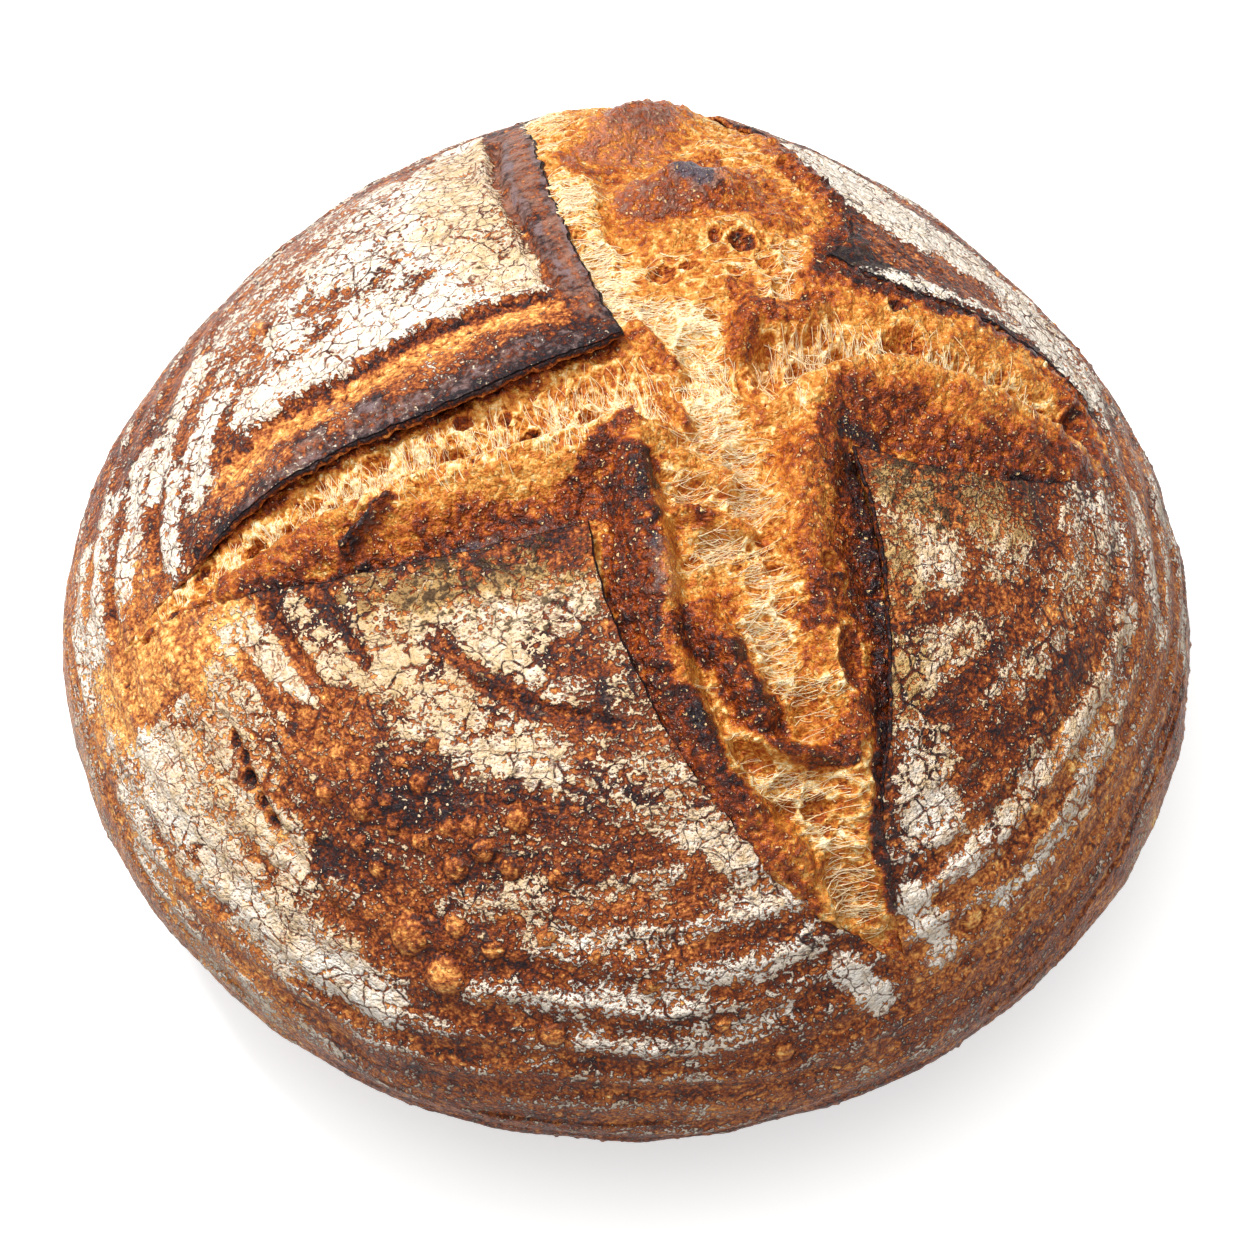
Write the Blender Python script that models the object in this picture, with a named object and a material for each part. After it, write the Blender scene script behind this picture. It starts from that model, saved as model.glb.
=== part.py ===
"""A round sourdough loaf with a cross score that has burst open in the oven, as one solid.

Metres, +Z up. The origin is at the middle of the flat base, +X is to the loaf's right and +Y to its back.
The skin is laid out on a "sheet": a flat disc whose middle is the top of the loaf and whose rim is the
edge of the base. A square grid on the sheet follows the score, so that its four corner blocks are the
four flaps of crust, its four side blocks the arms of the opening, and its middle block their crossing.
"""

import math

import bpy
import numpy as np

MM = 0.001
TINY = 1e-9

# The plain loaf: half an ellipse above its waist and part of a flatter one below it.
HALF_WIDTH = 115 * MM
HALF_DEPTH = 120.5 * MM
HEIGHT = 119 * MM
WAIST_HEIGHT = 42 * MM
LOWER_HALF_AXIS = WAIST_HEIGHT / 0.8
BASE_ANGLE = math.acos(-WAIST_HEIGHT / LOWER_HALF_AXIS)

# Hand shaping: how far the outline swells and dips, as (lobes, share of the radius, phase in degrees).
OUTLINE_LOBES = ((3, 0.014, 30), (4, 0.012, 0))

# Grid cells along a flap's side, and across an arm.
FLAP_CELLS = 25
ARM_CELLS = 10

# Past its tip an arm goes on to the rim as a strip of whole crust this wide.
STRIP_WIDTH = 5 * MM

# The skin's torn edges seen from above, in mm. Each flap has its corner by the crossing, then the
# points along its two edges, out to the tip of the arm that it borders.
FLAP_EDGES = {
    "front_left": {
        "corner": (-8, -31),
        "left": ((-22, -34), (-42, -36), (-62, -36), (-80, -33)),
        "front": ((-5, -44), (0, -58), (7, -71), (18, -84), (34, -95)),
    },
    "front_right": {
        "corner": (44, -11),
        "right": ((58, -12), (72, -10), (85, -5)),
        "front": ((48, -28), (50, -46), (50, -62), (48, -78), (50, -91)),
    },
    "back_left": {
        "corner": (-2, 12),
        "left": ((-18, 5), (-36, -4), (-54, -9), (-72, -17), (-86, -26)),
        "back": ((-8, 28), (-13, 45), (-17, 62), (-20, 80), (-22, 95)),
    },
    "back_right": {
        "corner": (41, 41),
        "right": ((55, 36), (70, 35), (84, 31), (95, 21)),
        "back": ((45, 55), (44, 67), (37, 79), (31, 92)),
    },
}

# Where each arm of the opening ends, seen from above, in mm. The back one runs down over the shoulder.
ARM_TIPS = {"left": (-99, -34), "right": (99, 7), "front": (53, -99), "back": (6, 117)}

# The opened crumb against the plain loaf, in mm, at shares of the way across each arm:
# from front to back in the left and right arms, and from left to right in the front and back arms.
# Two arms that meet at a flap's corner have the same height there.
ARM_SECTIONS = {
    "left": ((0, -1.5), (0.12, 1.0), (0.32, 3.5), (0.48, 3.0), (0.6, -6.0), (0.85, -8.0), (1, -4.0)),
    "right": ((0, -2.0), (0.15, 1.0), (0.38, 4.0), (0.48, 3.5), (0.6, -8.0), (0.8, -8.5), (1, -2.5)),
    "front": ((0, -1.5), (0.1, 2.5), (0.22, 3), (0.34, -4), (0.62, -5), (0.75, 1.5), (0.9, 2), (1, -2.0)),
    "back": ((0, -4.0), (0.1, 0.5), (0.2, -4.5), (0.38, 0.5), (0.55, 3), (0.75, 1), (0.9, 0.5), (1, -2.5)),
}

# How far the torn edge of each flap stands up, and how far it leans over the opening, in mm.
LIP_LIFT = {"front_left": 1.5, "front_right": 1.5, "back_left": 4.5, "back_right": 2.5}
LIP_LEAN = {"front_left": 0.0, "front_right": 0.0, "back_left": 4.0, "back_right": 1.5}
LIP_REACH = 9 * MM

# The score is shallowest at the arms' tips: it opens up between these two heights.
TIP_HEIGHT = 62 * MM
OPEN_HEIGHT = 90 * MM

# Shallow dents and swellings of the skin: (cycles along X, Y and Z per metre, height, phase).
SKIN_WAVES = (
    ((14, 6, 9), 0.9 * MM, 0.4),
    ((-7, 17, 5), 0.8 * MM, 2.1),
    ((23, -15, 20), 0.5 * MM, 4.4),
)

CRUST_COLOUR = (0.32, 0.12, 0.04, 1.0)


def clear_scene():
    for obj in list(bpy.data.objects):
        bpy.data.objects.remove(obj)


def outline_share(bearing):
    """How much of the plain ellipse the outline keeps at a bearing."""
    share = np.ones_like(bearing)
    for lobes, size, phase in OUTLINE_LOBES:
        share = share + size * np.cos(lobes * (bearing + math.radians(phase)))
    return share


def loaf_point(sheet):
    """The plain loaf's surface at points of the sheet, whose rim has a radius of 1."""
    bearing = np.arctan2(sheet[..., 1], sheet[..., 0])
    angle = np.hypot(sheet[..., 0], sheet[..., 1]) * BASE_ANGLE
    out = np.sin(angle)
    out = out * (1 + (outline_share(bearing) - 1) * out)
    upper = np.cos(angle) * (HEIGHT - WAIST_HEIGHT)
    lower = np.cos(angle) * LOWER_HALF_AXIS
    height = WAIST_HEIGHT + np.where(angle < math.pi / 2, upper, lower)
    return np.stack([out * np.cos(bearing) * HALF_WIDTH, out * np.sin(bearing) * HALF_DEPTH, height], -1)


def loaf_normal(sheet):
    """The outward direction of the plain loaf's surface."""
    step = 1e-4
    along = loaf_point(sheet + (step, 0)) - loaf_point(sheet - (step, 0))
    across = loaf_point(sheet + (0, step)) - loaf_point(sheet - (0, step))
    normal = np.cross(along, across)
    return normal / np.linalg.norm(normal, axis=-1, keepdims=True)


def sheet_from_plan(plan_mm):
    """The sheet's points under points of the upper half seen from above."""
    x, y = np.moveaxis(np.asarray(plan_mm, float) * MM, -1, 0)
    bearing = np.arctan2(y / HALF_DEPTH, x / HALF_WIDTH)
    out = np.hypot(x / HALF_WIDTH, y / HALF_DEPTH)
    swell = outline_share(bearing) - 1
    plain = out.copy()
    for _ in range(8):
        plain = out / (1 + swell * plain)
    radius = np.arcsin(np.clip(plain, 0, 1)) / BASE_ANGLE
    return np.stack([radius * np.cos(bearing), radius * np.sin(bearing)], -1)


def smooth_path(points, count):
    """A smooth curve through the points, as count + 1 evenly spaced points."""
    points = np.asarray(points, float)
    at = np.r_[0, np.cumsum(np.linalg.norm(np.diff(points, axis=0), axis=1))]
    slope = np.gradient(points, at, axis=0)
    fine = np.linspace(0, at[-1], 400)
    span = np.clip(np.searchsorted(at, fine, side="right") - 1, 0, len(at) - 2)
    width = (at[span + 1] - at[span])[:, None]
    t = ((fine - at[span])[:, None]) / width
    curve = (
        (1 + 2 * t) * (1 - t) ** 2 * points[span]
        + t * (1 - t) ** 2 * width * slope[span]
        + t * t * (3 - 2 * t) * points[span + 1]
        + t * t * (t - 1) * width * slope[span + 1]
    )
    run = np.r_[0, np.cumsum(np.linalg.norm(np.diff(curve, axis=0), axis=1))]
    even = np.linspace(0, run[-1], count + 1)
    return np.stack([np.interp(even, run, curve[:, k]) for k in range(2)], -1)


def flap_edge(flap, arm):
    """One torn edge of a flap, from its corner past the arm's tip to the rim, on the sheet."""
    tip = sheet_from_plan(ARM_TIPS[arm])
    outward = tip / np.linalg.norm(tip)
    corner = sheet_from_plan(FLAP_EDGES[flap]["corner"])
    sideways = np.array([-outward[1], outward[0]])
    sideways *= math.copysign(STRIP_WIDTH / 2 / (HALF_WIDTH * BASE_ANGLE), sideways @ (corner - tip))
    torn = sheet_from_plan(FLAP_EDGES[flap][arm])
    below_tip = tip + 0.35 * (outward - tip)
    return smooth_path([corner, *torn, tip + sideways, below_tip + sideways, outward + sideways], FLAP_CELLS)


def rim_arc(start, end, count):
    """Points along the rim between two points near it, the short way round."""
    first, last = (math.atan2(p[1], p[0]) for p in (start, end))
    turn = (last - first + math.pi) % (2 * math.pi) - math.pi
    bearing = first + np.linspace(0, turn, count + 1)
    return np.stack([np.cos(bearing), np.sin(bearing)], -1)


def onto_rim(path):
    """The path with its last point moved onto the rim."""
    path = path.copy()
    path[-1] /= np.linalg.norm(path[-1])
    return path


def patch(first, last, near, far):
    """A grid filled in between four edges: first and last run along axis 0, near and far along axis 1."""
    u = np.linspace(0, 1, len(first))[:, None, None]
    v = np.linspace(0, 1, len(near))[None, :, None]
    sides = (1 - v) * first[:, None] + v * last[:, None] + (1 - u) * near[None] + u * far[None]
    corners = (1 - u) * ((1 - v) * near[0] + v * near[-1]) + u * ((1 - v) * far[0] + v * far[-1])
    return sides - corners


def flap_patch(flap, side_arm, end_arm):
    """A flap's block of the sheet. Axis 0 runs out along its side arm, axis 1 along its end arm."""
    beside = onto_rim(flap_edge(flap, side_arm))
    along = onto_rim(flap_edge(flap, end_arm))
    arc = rim_arc(beside[-1], along[-1], 2 * FLAP_CELLS)
    return patch(beside, arc[FLAP_CELLS:][::-1], along, arc[: FLAP_CELLS + 1])


def sheet_blocks():
    """The nine blocks of the sheet as one grid. Axis 0 runs from left to right, axis 1 from front to back."""
    turned = {"front_left": (-1, -1), "front_right": (1, -1), "back_left": (-1, 1), "back_right": (1, 1)}
    flaps = {}
    for flap, steps in turned.items():
        end, side = flap.split("_")
        flaps[flap] = flap_patch(flap, side, end)[:: steps[0], :: steps[1]]
    arm = {
        "left": (flaps["front_left"][:, -1], flaps["back_left"][:, 0]),
        "right": (flaps["front_right"][:, -1], flaps["back_right"][:, 0]),
        "front": (flaps["front_left"][-1], flaps["front_right"][0]),
        "back": (flaps["back_left"][-1], flaps["back_right"][0]),
    }
    share = np.linspace(0, 1, ARM_CELLS + 1)[:, None]
    strips = {name: edge[0][:, None] * (1 - share) + edge[1][:, None] * share for name, edge in arm.items()}
    for name, tip in (("left", 0), ("right", -1), ("front", 0), ("back", -1)):
        strips[name][tip] /= np.linalg.norm(strips[name][tip], axis=-1, keepdims=True)
    front, back = np.swapaxes(strips["front"], 0, 1), np.swapaxes(strips["back"], 0, 1)
    middle = patch(front[:, -1], back[:, 0], strips["left"][-1], strips["right"][0])
    left = np.concatenate([flaps["front_left"], strips["left"][:, 1:-1], flaps["back_left"]], 1)
    centre = np.concatenate([front, middle[:, 1:-1], back], 1)
    right = np.concatenate([flaps["front_right"], strips["right"][:, 1:-1], flaps["back_right"]], 1)
    return np.concatenate([left[:-1], centre, right[1:]], 0)


def block_ranges():
    """The index ranges of the grid's three bands, which share their border lines."""
    inner = FLAP_CELLS, FLAP_CELLS + ARM_CELLS
    return slice(0, inner[0] + 1), slice(inner[0], inner[1] + 1), slice(inner[1], None)


def still_open(points):
    """1 where the score is wide open, falling to 0 at the arms' tips."""
    share = np.clip((points[..., 2] - TIP_HEIGHT) / (OPEN_HEIGHT - TIP_HEIGHT), 0, 1)
    return share * share * (3 - 2 * share)


def flap_lip(plain, flap):
    """Where a flap lies on the grid, the height its lip adds there, and how its lip leans."""
    low, _, high = block_ranges()
    end, side = flap.split("_")
    where = (low if side == "left" else high, low if end == "front" else high)
    block = plain[where]
    beside = block[-1:] if side == "left" else block[:1]
    along = block[:, -1:] if end == "front" else block[:, :1]
    distance = np.minimum(np.linalg.norm(block - beside, axis=-1), np.linalg.norm(block - along, axis=-1))
    near = np.exp(-((distance / LIP_REACH) ** 2)) * still_open(block)
    inward = np.array([1.0 if side == "left" else -1.0, 1.0 if end == "front" else -1.0, 0.0]) / math.sqrt(2)
    return where, LIP_LIFT[flap] * MM * near, (LIP_LEAN[flap] * MM * near)[..., None] * inward


def crumb_level(plain):
    """The opened crumb's height over the arms and their crossing, and 0 on the flaps, in metres."""
    low, mid, high = block_ranges()
    share = np.linspace(0, 1, ARM_CELLS + 1)
    section = {arm: np.interp(share, *zip(*knots)) * MM for arm, knots in ARM_SECTIONS.items()}
    level = np.zeros(plain.shape[:2])
    level[low, mid] = section["left"][None]
    level[high, mid] = section["right"][None]
    level[mid, low] = section["front"][:, None]
    level[mid, high] = section["back"][:, None]
    u, v = share[:, None], share[None]
    left_to_right = (1 - u) * section["left"][None] + u * section["right"][None]
    front_to_back = (1 - v) * section["front"][:, None] + v * section["back"][:, None]
    from_sides, from_ends = u * (1 - u) + TINY, v * (1 - v) + TINY
    level[mid, mid] = (from_ends * left_to_right + from_sides * front_to_back) / (from_ends + from_sides)
    return level * still_open(plain)


def skin_waves(points):
    """Shallow dents and swellings, none at the base."""
    height = np.zeros(points.shape[:-1])
    for cycles, size, phase in SKIN_WAVES:
        height += size * np.sin(2 * math.pi * (points @ np.array(cycles, float)) + phase)
    return height * np.clip(points[..., 2] / WAIST_HEIGHT, 0, 1)


def loaf_grid():
    """Every point of the loaf's skin, on the square grid, with the loaf's middle over the origin."""
    sheet = sheet_blocks()
    plain = loaf_point(sheet)
    level = crumb_level(plain) + skin_waves(plain)
    moved = np.zeros_like(plain)
    for flap in FLAP_EDGES:
        where, lift, lean = flap_lip(plain, flap)
        level[where] += lift
        moved[where] += lean
    rim = np.zeros(level.shape, bool)
    rim[[0, -1]] = True
    rim[:, [0, -1]] = True
    level[rim] = 0
    points = plain + loaf_normal(sheet) * level[..., None] + moved
    points[rim, 2] = 0
    points[..., :2] -= (points[..., :2].min((0, 1)) + points[..., :2].max((0, 1))) / 2
    return points


def loaf_mesh(points):
    """The grid's faces, closed underneath by one flat face."""
    across, along = points.shape[:2]
    index = np.arange(across * along).reshape(across, along)
    faces = np.stack([index[:-1, :-1], index[1:, :-1], index[1:, 1:], index[:-1, 1:]], -1).reshape(-1, 4)
    rim = [*index[:-1, 0], *index[-1, :-1], *index[:0:-1, -1], *index[0, :0:-1]]
    mesh = bpy.data.meshes.new("loaf")
    mesh.from_pydata(points.reshape(-1, 3).tolist(), [], [*faces.tolist(), [int(i) for i in rim[::-1]]])
    mesh.shade_smooth()
    mesh.set_sharp_from_angle(angle=math.radians(50))
    mesh.polygons[-1].use_smooth = False
    return mesh


def crust_material():
    material = bpy.data.materials.new("crust")
    material.use_nodes = True
    shader = material.node_tree.nodes["Principled BSDF"]
    shader.inputs["Base Color"].default_value = CRUST_COLOUR
    shader.inputs["Roughness"].default_value = 0.7
    shader.inputs["Metallic"].default_value = 0.0
    material.diffuse_color = CRUST_COLOUR
    return material


def main():
    clear_scene()
    mesh = loaf_mesh(loaf_grid())
    mesh.materials.append(crust_material())
    loaf = bpy.data.objects.new("loaf", mesh)
    bpy.context.scene.collection.objects.link(loaf)


main()
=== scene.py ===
"""The looks of a round sourdough loaf whose cross score has burst open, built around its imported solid.

Every size is in metres unless its name says mm. The loaf's skin is laid out on a "sheet": a flat disc
whose middle is the top of the loaf and whose rim is the edge of the base. The torn edges, ridges,
flour and burns are strokes whose points are seen from above, in mm from the loaf's axis, with +X to
the right and +Y to the back.

Pieces: four flaps of crust, the crumb that shows in the opening, the strands across it and the base.
"""

import math

import bpy
import numpy as np
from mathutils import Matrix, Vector


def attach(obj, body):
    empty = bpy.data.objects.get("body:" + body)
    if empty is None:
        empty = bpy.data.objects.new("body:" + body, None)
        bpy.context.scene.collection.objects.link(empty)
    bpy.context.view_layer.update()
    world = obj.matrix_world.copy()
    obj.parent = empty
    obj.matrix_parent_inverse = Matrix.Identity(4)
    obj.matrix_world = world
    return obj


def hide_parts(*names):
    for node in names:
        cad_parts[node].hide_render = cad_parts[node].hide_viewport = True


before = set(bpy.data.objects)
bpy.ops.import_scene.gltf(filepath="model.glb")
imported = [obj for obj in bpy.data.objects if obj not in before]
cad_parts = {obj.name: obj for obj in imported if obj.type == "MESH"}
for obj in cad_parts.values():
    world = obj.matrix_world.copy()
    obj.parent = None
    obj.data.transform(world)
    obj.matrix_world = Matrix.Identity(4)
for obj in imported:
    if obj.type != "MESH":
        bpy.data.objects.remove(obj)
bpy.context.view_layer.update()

MM = 0.001
RANDOM_SEED = 11

# ---------------------------------------------------------------- the plain loaf, as in the solid

HALF_WIDTH = 115 * MM
HALF_DEPTH = 120.5 * MM
HEIGHT = 119 * MM
WAIST_HEIGHT = 42 * MM
LOWER_HALF_AXIS = WAIST_HEIGHT / 0.8
BASE_ANGLE = math.acos(-WAIST_HEIGHT / LOWER_HALF_AXIS)
OUTLINE_LOBES = ((3, 0.014, 30), (4, 0.012, 0))
# About how many mm of skin there are from the sheet's middle to its rim.
SHEET_MM = HALF_WIDTH * BASE_ANGLE / MM

# Where the loaf's axis stands in the frame, whose origin is the middle of the solid's box.
AXIS = np.array((-0.1, -1.8, 0.0)) * MM


def outline_share(bearing):
    """How much of the plain ellipse the outline keeps at a bearing."""
    share = np.ones_like(bearing)
    for lobes, size, phase in OUTLINE_LOBES:
        share = share + size * np.cos(lobes * (bearing + math.radians(phase)))
    return share


def loaf_point(sheet):
    """The plain loaf's surface at points of the sheet, whose rim has a radius of 1."""
    bearing = np.arctan2(sheet[..., 1], sheet[..., 0])
    angle = np.hypot(sheet[..., 0], sheet[..., 1]) * BASE_ANGLE
    out = np.sin(angle)
    out = out * (1 + (outline_share(bearing) - 1) * out)
    upper = np.cos(angle) * (HEIGHT - WAIST_HEIGHT)
    lower = np.cos(angle) * LOWER_HALF_AXIS
    height = WAIST_HEIGHT + np.where(angle < math.pi / 2, upper, lower)
    return np.stack([out * np.cos(bearing) * HALF_WIDTH, out * np.sin(bearing) * HALF_DEPTH, height], -1)


def loaf_normal(sheet):
    """The outward direction of the plain loaf's surface."""
    step = 1e-4
    along = loaf_point(sheet + (step, 0)) - loaf_point(sheet - (step, 0))
    across = loaf_point(sheet + (0, step)) - loaf_point(sheet - (0, step))
    normal = np.cross(along, across)
    return normal / np.linalg.norm(normal, axis=-1, keepdims=True)


def sheet_from_plan(plan_mm):
    """The sheet's points under points of the upper half seen from above."""
    x, y = np.moveaxis(np.asarray(plan_mm, float) * MM, -1, 0)
    bearing = np.arctan2(y / HALF_DEPTH, x / HALF_WIDTH)
    out = np.hypot(x / HALF_WIDTH, y / HALF_DEPTH)
    swell = outline_share(bearing) - 1
    plain = out.copy()
    for _ in range(8):
        plain = out / (1 + swell * plain)
    radius = np.arcsin(np.clip(plain, 0, 1)) / BASE_ANGLE
    return np.stack([radius * np.cos(bearing), radius * np.sin(bearing)], -1)


# ---------------------------------------------------------------- noise

def smooth(low, high, value):
    """0 below low, 1 above high, and a smooth step between."""
    share = np.clip((value - low) / (high - low), 0, 1)
    return share * share * (3 - 2 * share)


def lattice_hash(cell, seed):
    """A repeatable whole number for each whole lattice point."""
    h = cell[..., 0] * 73856093 ^ cell[..., 1] * 19349663 ^ cell[..., 2] * 83492791 ^ (seed + 1) * 49979687
    h = (h ^ (h >> 13)) * 1274126177 & 0x7FFFFFFF
    return h ^ (h >> 16)


def unit_table():
    """Directions spread at random, from which the noise picks one for each lattice point."""
    table = np.random.default_rng(RANDOM_SEED).normal(size=(256, 3))
    return table / np.linalg.norm(table, axis=1, keepdims=True)


UNITS = unit_table()


def noise(points, size_mm, seed):
    """Smooth noise from about -1 to 1 whose bumps are about size_mm across."""
    scaled = points / (size_mm * MM)
    cell = np.floor(scaled).astype(np.int64)
    inside = scaled - cell
    ease = inside * inside * inside * (inside * (inside * 6 - 15) + 10)
    total = np.zeros(points.shape[:-1])
    for corner in np.ndindex(2, 2, 2):
        direction = UNITS[lattice_hash(cell + corner, seed) & 255]
        weight = np.prod(np.where(corner, ease, 1 - ease), -1)
        total += weight * ((inside - corner) * direction).sum(-1)
    return total * 1.8


def rough(points, size_mm, seed):
    """Noise with finer and finer noise added."""
    return sum(noise(points, size_mm / 2**k, seed + 17 * k) / 1.9**k for k in range(3)) / 1.4


def layered(points, *layers):
    """Several noises added up, each given as (how strong, how far across in mm, seed)."""
    return sum(strength * noise(points, size_mm, seed) for strength, size_mm, seed in layers)


def cells(points, size_mm, seed):
    """The distances to the nearest and second nearest of scattered points, as shares of their spacing."""
    scaled = points / (size_mm * MM)
    cell = np.floor(scaled).astype(np.int64)
    first = np.full(points.shape[:-1], 9.0)
    second = first.copy()
    for step in np.ndindex(3, 3, 3):
        corner = cell + np.array(step) - 1
        h = lattice_hash(corner, seed)
        jitter = np.stack([h & 1023, (h >> 10) & 1023, (h >> 20) & 1023], -1) / 1023
        distance = np.linalg.norm(corner + jitter - scaled, axis=-1)
        second = np.minimum(second, np.maximum(first, distance))
        first = np.minimum(first, distance)
    return first, second


# ---------------------------------------------------------------- strokes

STROKE_STEP_MM = 3
# How far up or down a spot such as a pit or a bubble reaches.
OVAL_HEIGHT_MM = 9


def smooth_path(points, shares):
    """A smooth curve through the points, read at these shares of its length."""
    points = np.asarray(points, float)
    at = np.r_[0, np.cumsum(np.linalg.norm(np.diff(points[:, :2], axis=0), axis=1))]
    slope = np.gradient(points, at, axis=0)
    fine = np.linspace(0, at[-1], 600)
    span = np.clip(np.searchsorted(at, fine, side="right") - 1, 0, len(at) - 2)
    width = (at[span + 1] - at[span])[:, None]
    t = (fine - at[span])[:, None] / width
    curve = (
        (1 + 2 * t) * (1 - t) ** 2 * points[span]
        + t * (1 - t) ** 2 * width * slope[span]
        + t * t * (3 - 2 * t) * points[span + 1]
        + t * t * (t - 1) * width * slope[span + 1]
    )
    run = np.r_[0, np.cumsum(np.linalg.norm(np.diff(curve[:, :2], axis=0), axis=1))]
    wanted = np.asarray(shares) * run[-1]
    return np.stack([np.interp(wanted, run, curve[:, k]) for k in range(points.shape[1])], -1)


def stroke_line(path_mm):
    """A stroke's points on the plain loaf, at most 3 mm apart, with any further columns of its path."""
    path = np.asarray(path_mm, float)
    if len(path) == 1:
        path = np.concatenate([path, path + np.r_[0.01, np.zeros(path.shape[1] - 1)]])
    length = np.linalg.norm(np.diff(path[:, :2], axis=0), axis=1).sum()
    shares = np.linspace(0, 1, max(2, int(length / STROKE_STEP_MM) + 2))
    if len(path) > 2:
        path = smooth_path(path, shares)
    else:
        path = path[:1] + shares[:, None] * (path[1:] - path[:1])
    return loaf_point(sheet_from_plan(path[:, :2])), path[:, 2:]


def nearest_on(points, line, extra):
    """Each point's distance to the line in mm, its side of it (left is +), and the extra columns there."""
    best = np.full(len(points), np.inf)
    side = np.ones(len(points))
    values = np.zeros((len(points), extra.shape[1]))
    for k in range(len(line) - 1):
        span = line[k + 1] - line[k]
        offset = points - line[k]
        share = np.clip(offset @ span / max(span @ span, 1e-12), 0, 1)
        away = offset - share[:, None] * span
        distance = (away * away).sum(-1)
        closer = distance < best
        best[closer] = distance[closer]
        side[closer] = np.sign(span[0] * offset[closer, 1] - span[1] * offset[closer, 0])
        values[closer] = extra[k] + share[closer, None] * (extra[k + 1] - extra[k])
    return np.sqrt(best) / MM, side, values


def near(points, line, reach_mm):
    """Which points may lie within reach of the line."""
    low, high = line.min(0) - reach_mm * MM, line.max(0) + reach_mm * MM
    return np.flatnonzero(((points > low) & (points < high)).all(-1))


def near_stroke(plain, path, reach_mm):
    """Which points may be within reach of a stroke, and what nearest_on says of them."""
    line, extra = stroke_line(path)
    chosen = near(plain, line, reach_mm)
    return chosen, *nearest_on(plain[chosen], line, extra)


def paint(field, plain, strokes, fray=None):
    """Lays strokes of (value, half width, soft edge, path) over a field, one after another, in mm.

    fray moves the strokes' edges in and out at each point by this many times their soft edge.
    """
    for value, half_width, soft, *path in strokes:
        chosen, distance, _, _ = near_stroke(plain, path, half_width + 2 * soft)
        if fray is not None:
            distance = distance + fray[chosen] * soft
        field[chosen] += (value - field[chosen]) * smooth(half_width + soft, half_width, distance)
    return field


def fraying(plain, seed):
    """How far a stroke's edge is out at each point, uneven at every size."""
    return layered(plain, (0.5, 8, seed), (0.45, 3.2, seed + 1), (0.4, 1.4, seed + 2))


def turned(x, y, angle):
    """Flat coordinates as read along axes that are turned by the angle."""
    return x * math.cos(angle) + y * math.sin(angle), y * math.cos(angle) - x * math.sin(angle)


def band(distance, middle, width):
    """1 where the distance is at its middle, falling away smoothly on both sides."""
    return np.exp(-((distance - middle) / width) ** 2)


def oval_distance(plain, x, y, across, along, degrees):
    """The distance from a spot's middle as a share of its oval's radius, in plan and, less so, in height."""
    away = (plain - loaf_point(sheet_from_plan((x, y)))) / MM
    u, v = turned(away[:, 0], away[:, 1], math.radians(degrees))
    return np.sqrt((u / along) ** 2 + (v / across) ** 2 + (away[:, 2] / OVAL_HEIGHT_MM) ** 2)


# ---------------------------------------------------------------- the layout of the score

# The torn edges seen from above. Each flap has its corner by the crossing, then the points along its
# two edges, out to the tip of the arm that it borders.
FLAP_EDGES = {
    "front_left": {
        "corner": (-8, -31),
        "left": ((-22, -34), (-42, -36), (-62, -36), (-80, -33)),
        "front": ((-5.5, -44), (0, -58), (7, -71), (18, -84), (34, -95)),
    },
    "front_right": {
        "corner": (44, -11),
        "right": ((58, -12), (72, -10), (85, -5)),
        "front": ((48, -28), (50, -46), (50, -62), (48, -78), (50, -91)),
    },
    "back_left": {
        "corner": (-2, 12),
        "left": ((-18, 5), (-36, -3), (-54, -8), (-72, -16), (-86, -26)),
        "back": ((-8, 28), (-13, 45), (-17, 62), (-20, 80), (-22, 95)),
    },
    "back_right": {
        "corner": (41, 41),
        "right": ((55, 36), (70, 35), (84, 31), (95, 21)),
        "back": ((46, 50), (45, 60), (37, 76), (29, 92)),
    },
}
ARM_TIPS = {"left": (-99, -34), "right": (99, 7), "front": (53, -99), "back": (6, 117)}
CROSSING = (14, 1)

# Grid cells of a flap's edge: along its torn part, and from the arm's tip down to the rim.
TORN_CELLS = 188
SEAM_CELLS = 80
SEAM_GROWTH = 4.5
FLAP_CELLS = TORN_CELLS + SEAM_CELLS

# Each torn edge: how far it stands up, how far it leans over the opening, how far back from the edge
# that reaches, how thick its lip is and how ragged its line, all in mm.
LIPS = {
    "front_left": {"left": (0.5, 0.0, 5, 1.1, 0.5), "front": (0.9, 0.6, 6, 1.3, 0.5)},
    "front_right": {"right": (0.9, 0.4, 5, 1.2, 0.6), "front": (0.8, 0.3, 5, 1.5, 0.6)},
    "back_left": {"left": (3.2, 1.6, 8, 2.2, 0.6), "back": (1.8, 0.4, 7, 1.8, 1.1)},
    "back_right": {"right": (1.2, 0.9, 6, 1.5, 0.8), "back": (1.6, 0.4, 6, 2.0, 1.1)},
}
# How far from an arm's tip, in mm, its lips begin to rise and have risen.
TIP_FADE = {"left": (15, 55), "right": (5, 45), "front": (5, 45), "back": (12, 55)}
# How far from an arm's tip, in mm, the crumb begins to come up to the skin and has come up to it.
TIP_REACH = {"left": (30, 10), "right": (16, 3), "front": (14, 3), "back": (16, 3)}
# A lip's section from the edge over, down and back under, as shares of its thickness.
LIP_SECTION = (
    (0.16, -0.08), (0.3, -0.26), (0.36, -0.5), (0.3, -0.76), (0.1, -1.0), (-0.4, -1.2), (-1.2, -1.4),
)

# How far that section is baked, for the flaps at the back and at the front.
LIP_BAKE = {
    "back": (0.93, 0.86, 0.60, 0.44, 0.50, 0.60, 0.60),
    "front": (0.93, 0.90, 0.84, 0.78, 0.74, 0.70, 0.70),
}

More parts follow.
